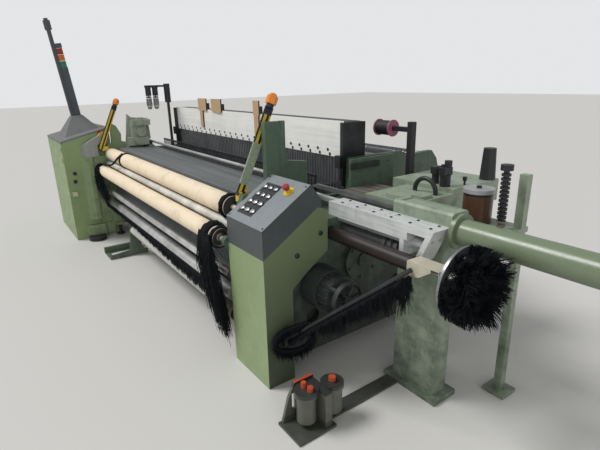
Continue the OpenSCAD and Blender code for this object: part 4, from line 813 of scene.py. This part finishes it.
# The wheel's loose ends come in tufts: a tuft's ends start together on the core's outside or
# its outer face, stand off it and droop the same way, and none passes the wheel's own reach.
tufts, each = 460, 13
count = tufts * each
angle = rng.uniform(0, 2 * np.pi, tufts)
run = rng.uniform(0, 1.35, tufts)
start_r = np.where(run < 1, 0.112 - 0.012 * run, 0.095 * rng.uniform(0, 1, tufts) ** 0.5)
run = np.minimum(run, 1.0)
start = np.stack([2.702 + 0.092 * run, -0.205 + start_r * np.cos(angle), 0.812 + start_r * np.sin(angle)], -1)
flat = np.clip(run * 2.2 - 1.3, 0, 1) * 1.3
outwards = np.stack([flat + 0.05, np.cos(angle), np.sin(angle)], -1)
outwards /= np.linalg.norm(outwards, axis=1)[:, None]
droop = rng.normal(0, 0.020, (tufts, 1, 3)) + np.array([0, 0, -0.012])
whose = np.repeat(np.arange(tufts), each)
reach = (rng.uniform(0.040, 0.078, tufts) * (1 - 0.45 * run))[whose, None, None]
reach = reach * rng.uniform(0.75, 1.05, (count, 1, 1))
t = np.linspace(0, 1, 5)[None, :, None]
paths = (start[whose] + rng.normal(0, 0.0065, (count, 3)))[:, None] + outwards[whose, None] * reach * t
paths += droop[whose] * t ** 1.5 + rng.normal(0, 0.0045, (count, 1, 3)) * t
paths[..., 0] = np.clip(paths[..., 0], 2.6965, 2.845)
from_axis = np.linalg.norm(paths[..., 1:] - WHEEL_AXIS, axis=-1, keepdims=True)
paths[..., 1:] = WHEEL_AXIS + (paths[..., 1:] - WHEEL_AXIS) * np.minimum(1.0, REACH_FROM_AXIS / from_axis)
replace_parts(strands("waste_ball", "waste", paths, rng.uniform(0.0014, 0.0027, count)), "waste_fringe")

# Waste on the guide bar: a black strand bound along the bar from a loop at its lower end, and
# ragged ends hanging from its upper two thirds.
bar_low, bar_high = np.array([1.8753, -0.540, 0.270]), np.array([2.470, -0.259, 0.802])
bar_dir = (bar_high - bar_low) / np.linalg.norm(bar_high - bar_low)
bar_side = np.cross(bar_dir, [0, 0, 1.0])
bar_side /= np.linalg.norm(bar_side)
bar_down = np.cross(bar_side, bar_dir)
bar_down *= np.sign(-bar_down[2])
t = np.linspace(-0.02, 0.93, 90)[:, None]
strand_r = 0.010 + 0.006 * np.sin(t[:, 0] * 41.0) ** 2 + 0.008 * np.clip(0.35 - t[:, 0], 0, 1)
bound = bar_low + (bar_high - bar_low) * t + bar_down * (0.0125 + strand_r[:, None])
place_piece("bar_strand", "frame", *carried(bound, strand_r, across=tuple(bar_side)), black_yarn)
loop_width = 0.027
looped = rope_path([[1.990, -0.470, 0.398], [1.945, -0.520, 0.375], [1.908, -0.566, 0.348],
                    [1.900, -0.612, 0.320], [1.899, -0.628, 0.285], [1.899, -0.612, 0.248],
                    [1.901, -0.577, 0.226], [1.905, -0.530, 0.208], [1.918, -0.480, 0.204],
                    [1.945, -0.442, 0.235], [1.985, -0.436, 0.295], [2.012, -0.458, 0.362]], 70, 10)
waste_rope = place_piece("bar_loop", "frame", *carried(looped, loop_width / 2), black_yarn)
STRAIGHT_DOWN = (0.0, 0.0, 0.0)
count = 700
roots = looped[rng.integers(2, 69, count)] + rng.normal(0, 0.006, (count, 3)) * [0.4, 1, 1] + [0.006, 0, -0.006]
paths = hanging(roots, rng.uniform(0.015, 0.055, count), STRAIGHT_DOWN, 0.013, steps=4)
strands("loop_ends", "frame", paths, rng.uniform(0.0013, 0.0026, count))
count = 2300
t = rng.beta(2.0, 1.1, count) * 0.80 + 0.17
roots = bar_low + (bar_high - bar_low) * t[:, None] + bar_down * 0.024 + rng.normal(0, 0.005, (count, 3))
long_ends = rng.uniform(0.035, 0.080, count)
long_ends += 0.095 * t ** 2 * (0.6 + 0.4 * np.sin(t * 70.0)) * rng.random(count)
long_ends *= rng.uniform(0.55, 1.35, 60)[np.floor(t * 48).astype(int)]
paths = hanging(roots, long_ends, STRAIGHT_DOWN, 0.017, steps=5)
strands("bar_ends", "frame", paths, rng.uniform(0.0013, 0.0026, count))

# Oil canisters, bobbin pot, yarn spool and the fittings of the yarn table: dark moulded and
# oiled parts, with orange caps on the canisters, a brown pot under a pale lid and pink spool ends.
PLASTIC_BLACK = (0.012, 0.012, 0.013, 1)
SPOOL_PINK = (0.33, 0.10, 0.16, 1)
dress(banded("filter_grey", "Z", [(0.0, (0.060, 0.066, 0.055, 1)), (0.045, (0.11, 0.115, 0.09, 1)),
                                  (0.192, (0.035, 0.037, 0.035, 1)), (0.2125, (0.48, 0.08, 0.03, 1))],
             rough=0.35), "oil_canisters")
dress(banded("pot_brown", "Z", [(0.0, (0.085, 0.040, 0.022, 1)), (1.052, PLASTIC_BLACK),
                                (1.0646, (0.33, 0.34, 0.34, 1)), (1.0845, PLASTIC_BLACK)]), "bobbin_pot")
dress(banded("spool_black_and_pink", "X", [(0.0, SPOOL_PINK), (1.4285, (0.010, 0.010, 0.014, 1)),
                                           (1.5465, SPOOL_PINK)], rough=0.6), "yarn_spool")
dress(banded("table_dark", "Z", [(0.0, (0.15, 0.135, 0.115, 1)), (0.9585, (0.020, 0.022, 0.023, 1))], rough=0.45),
      "table_fittings")
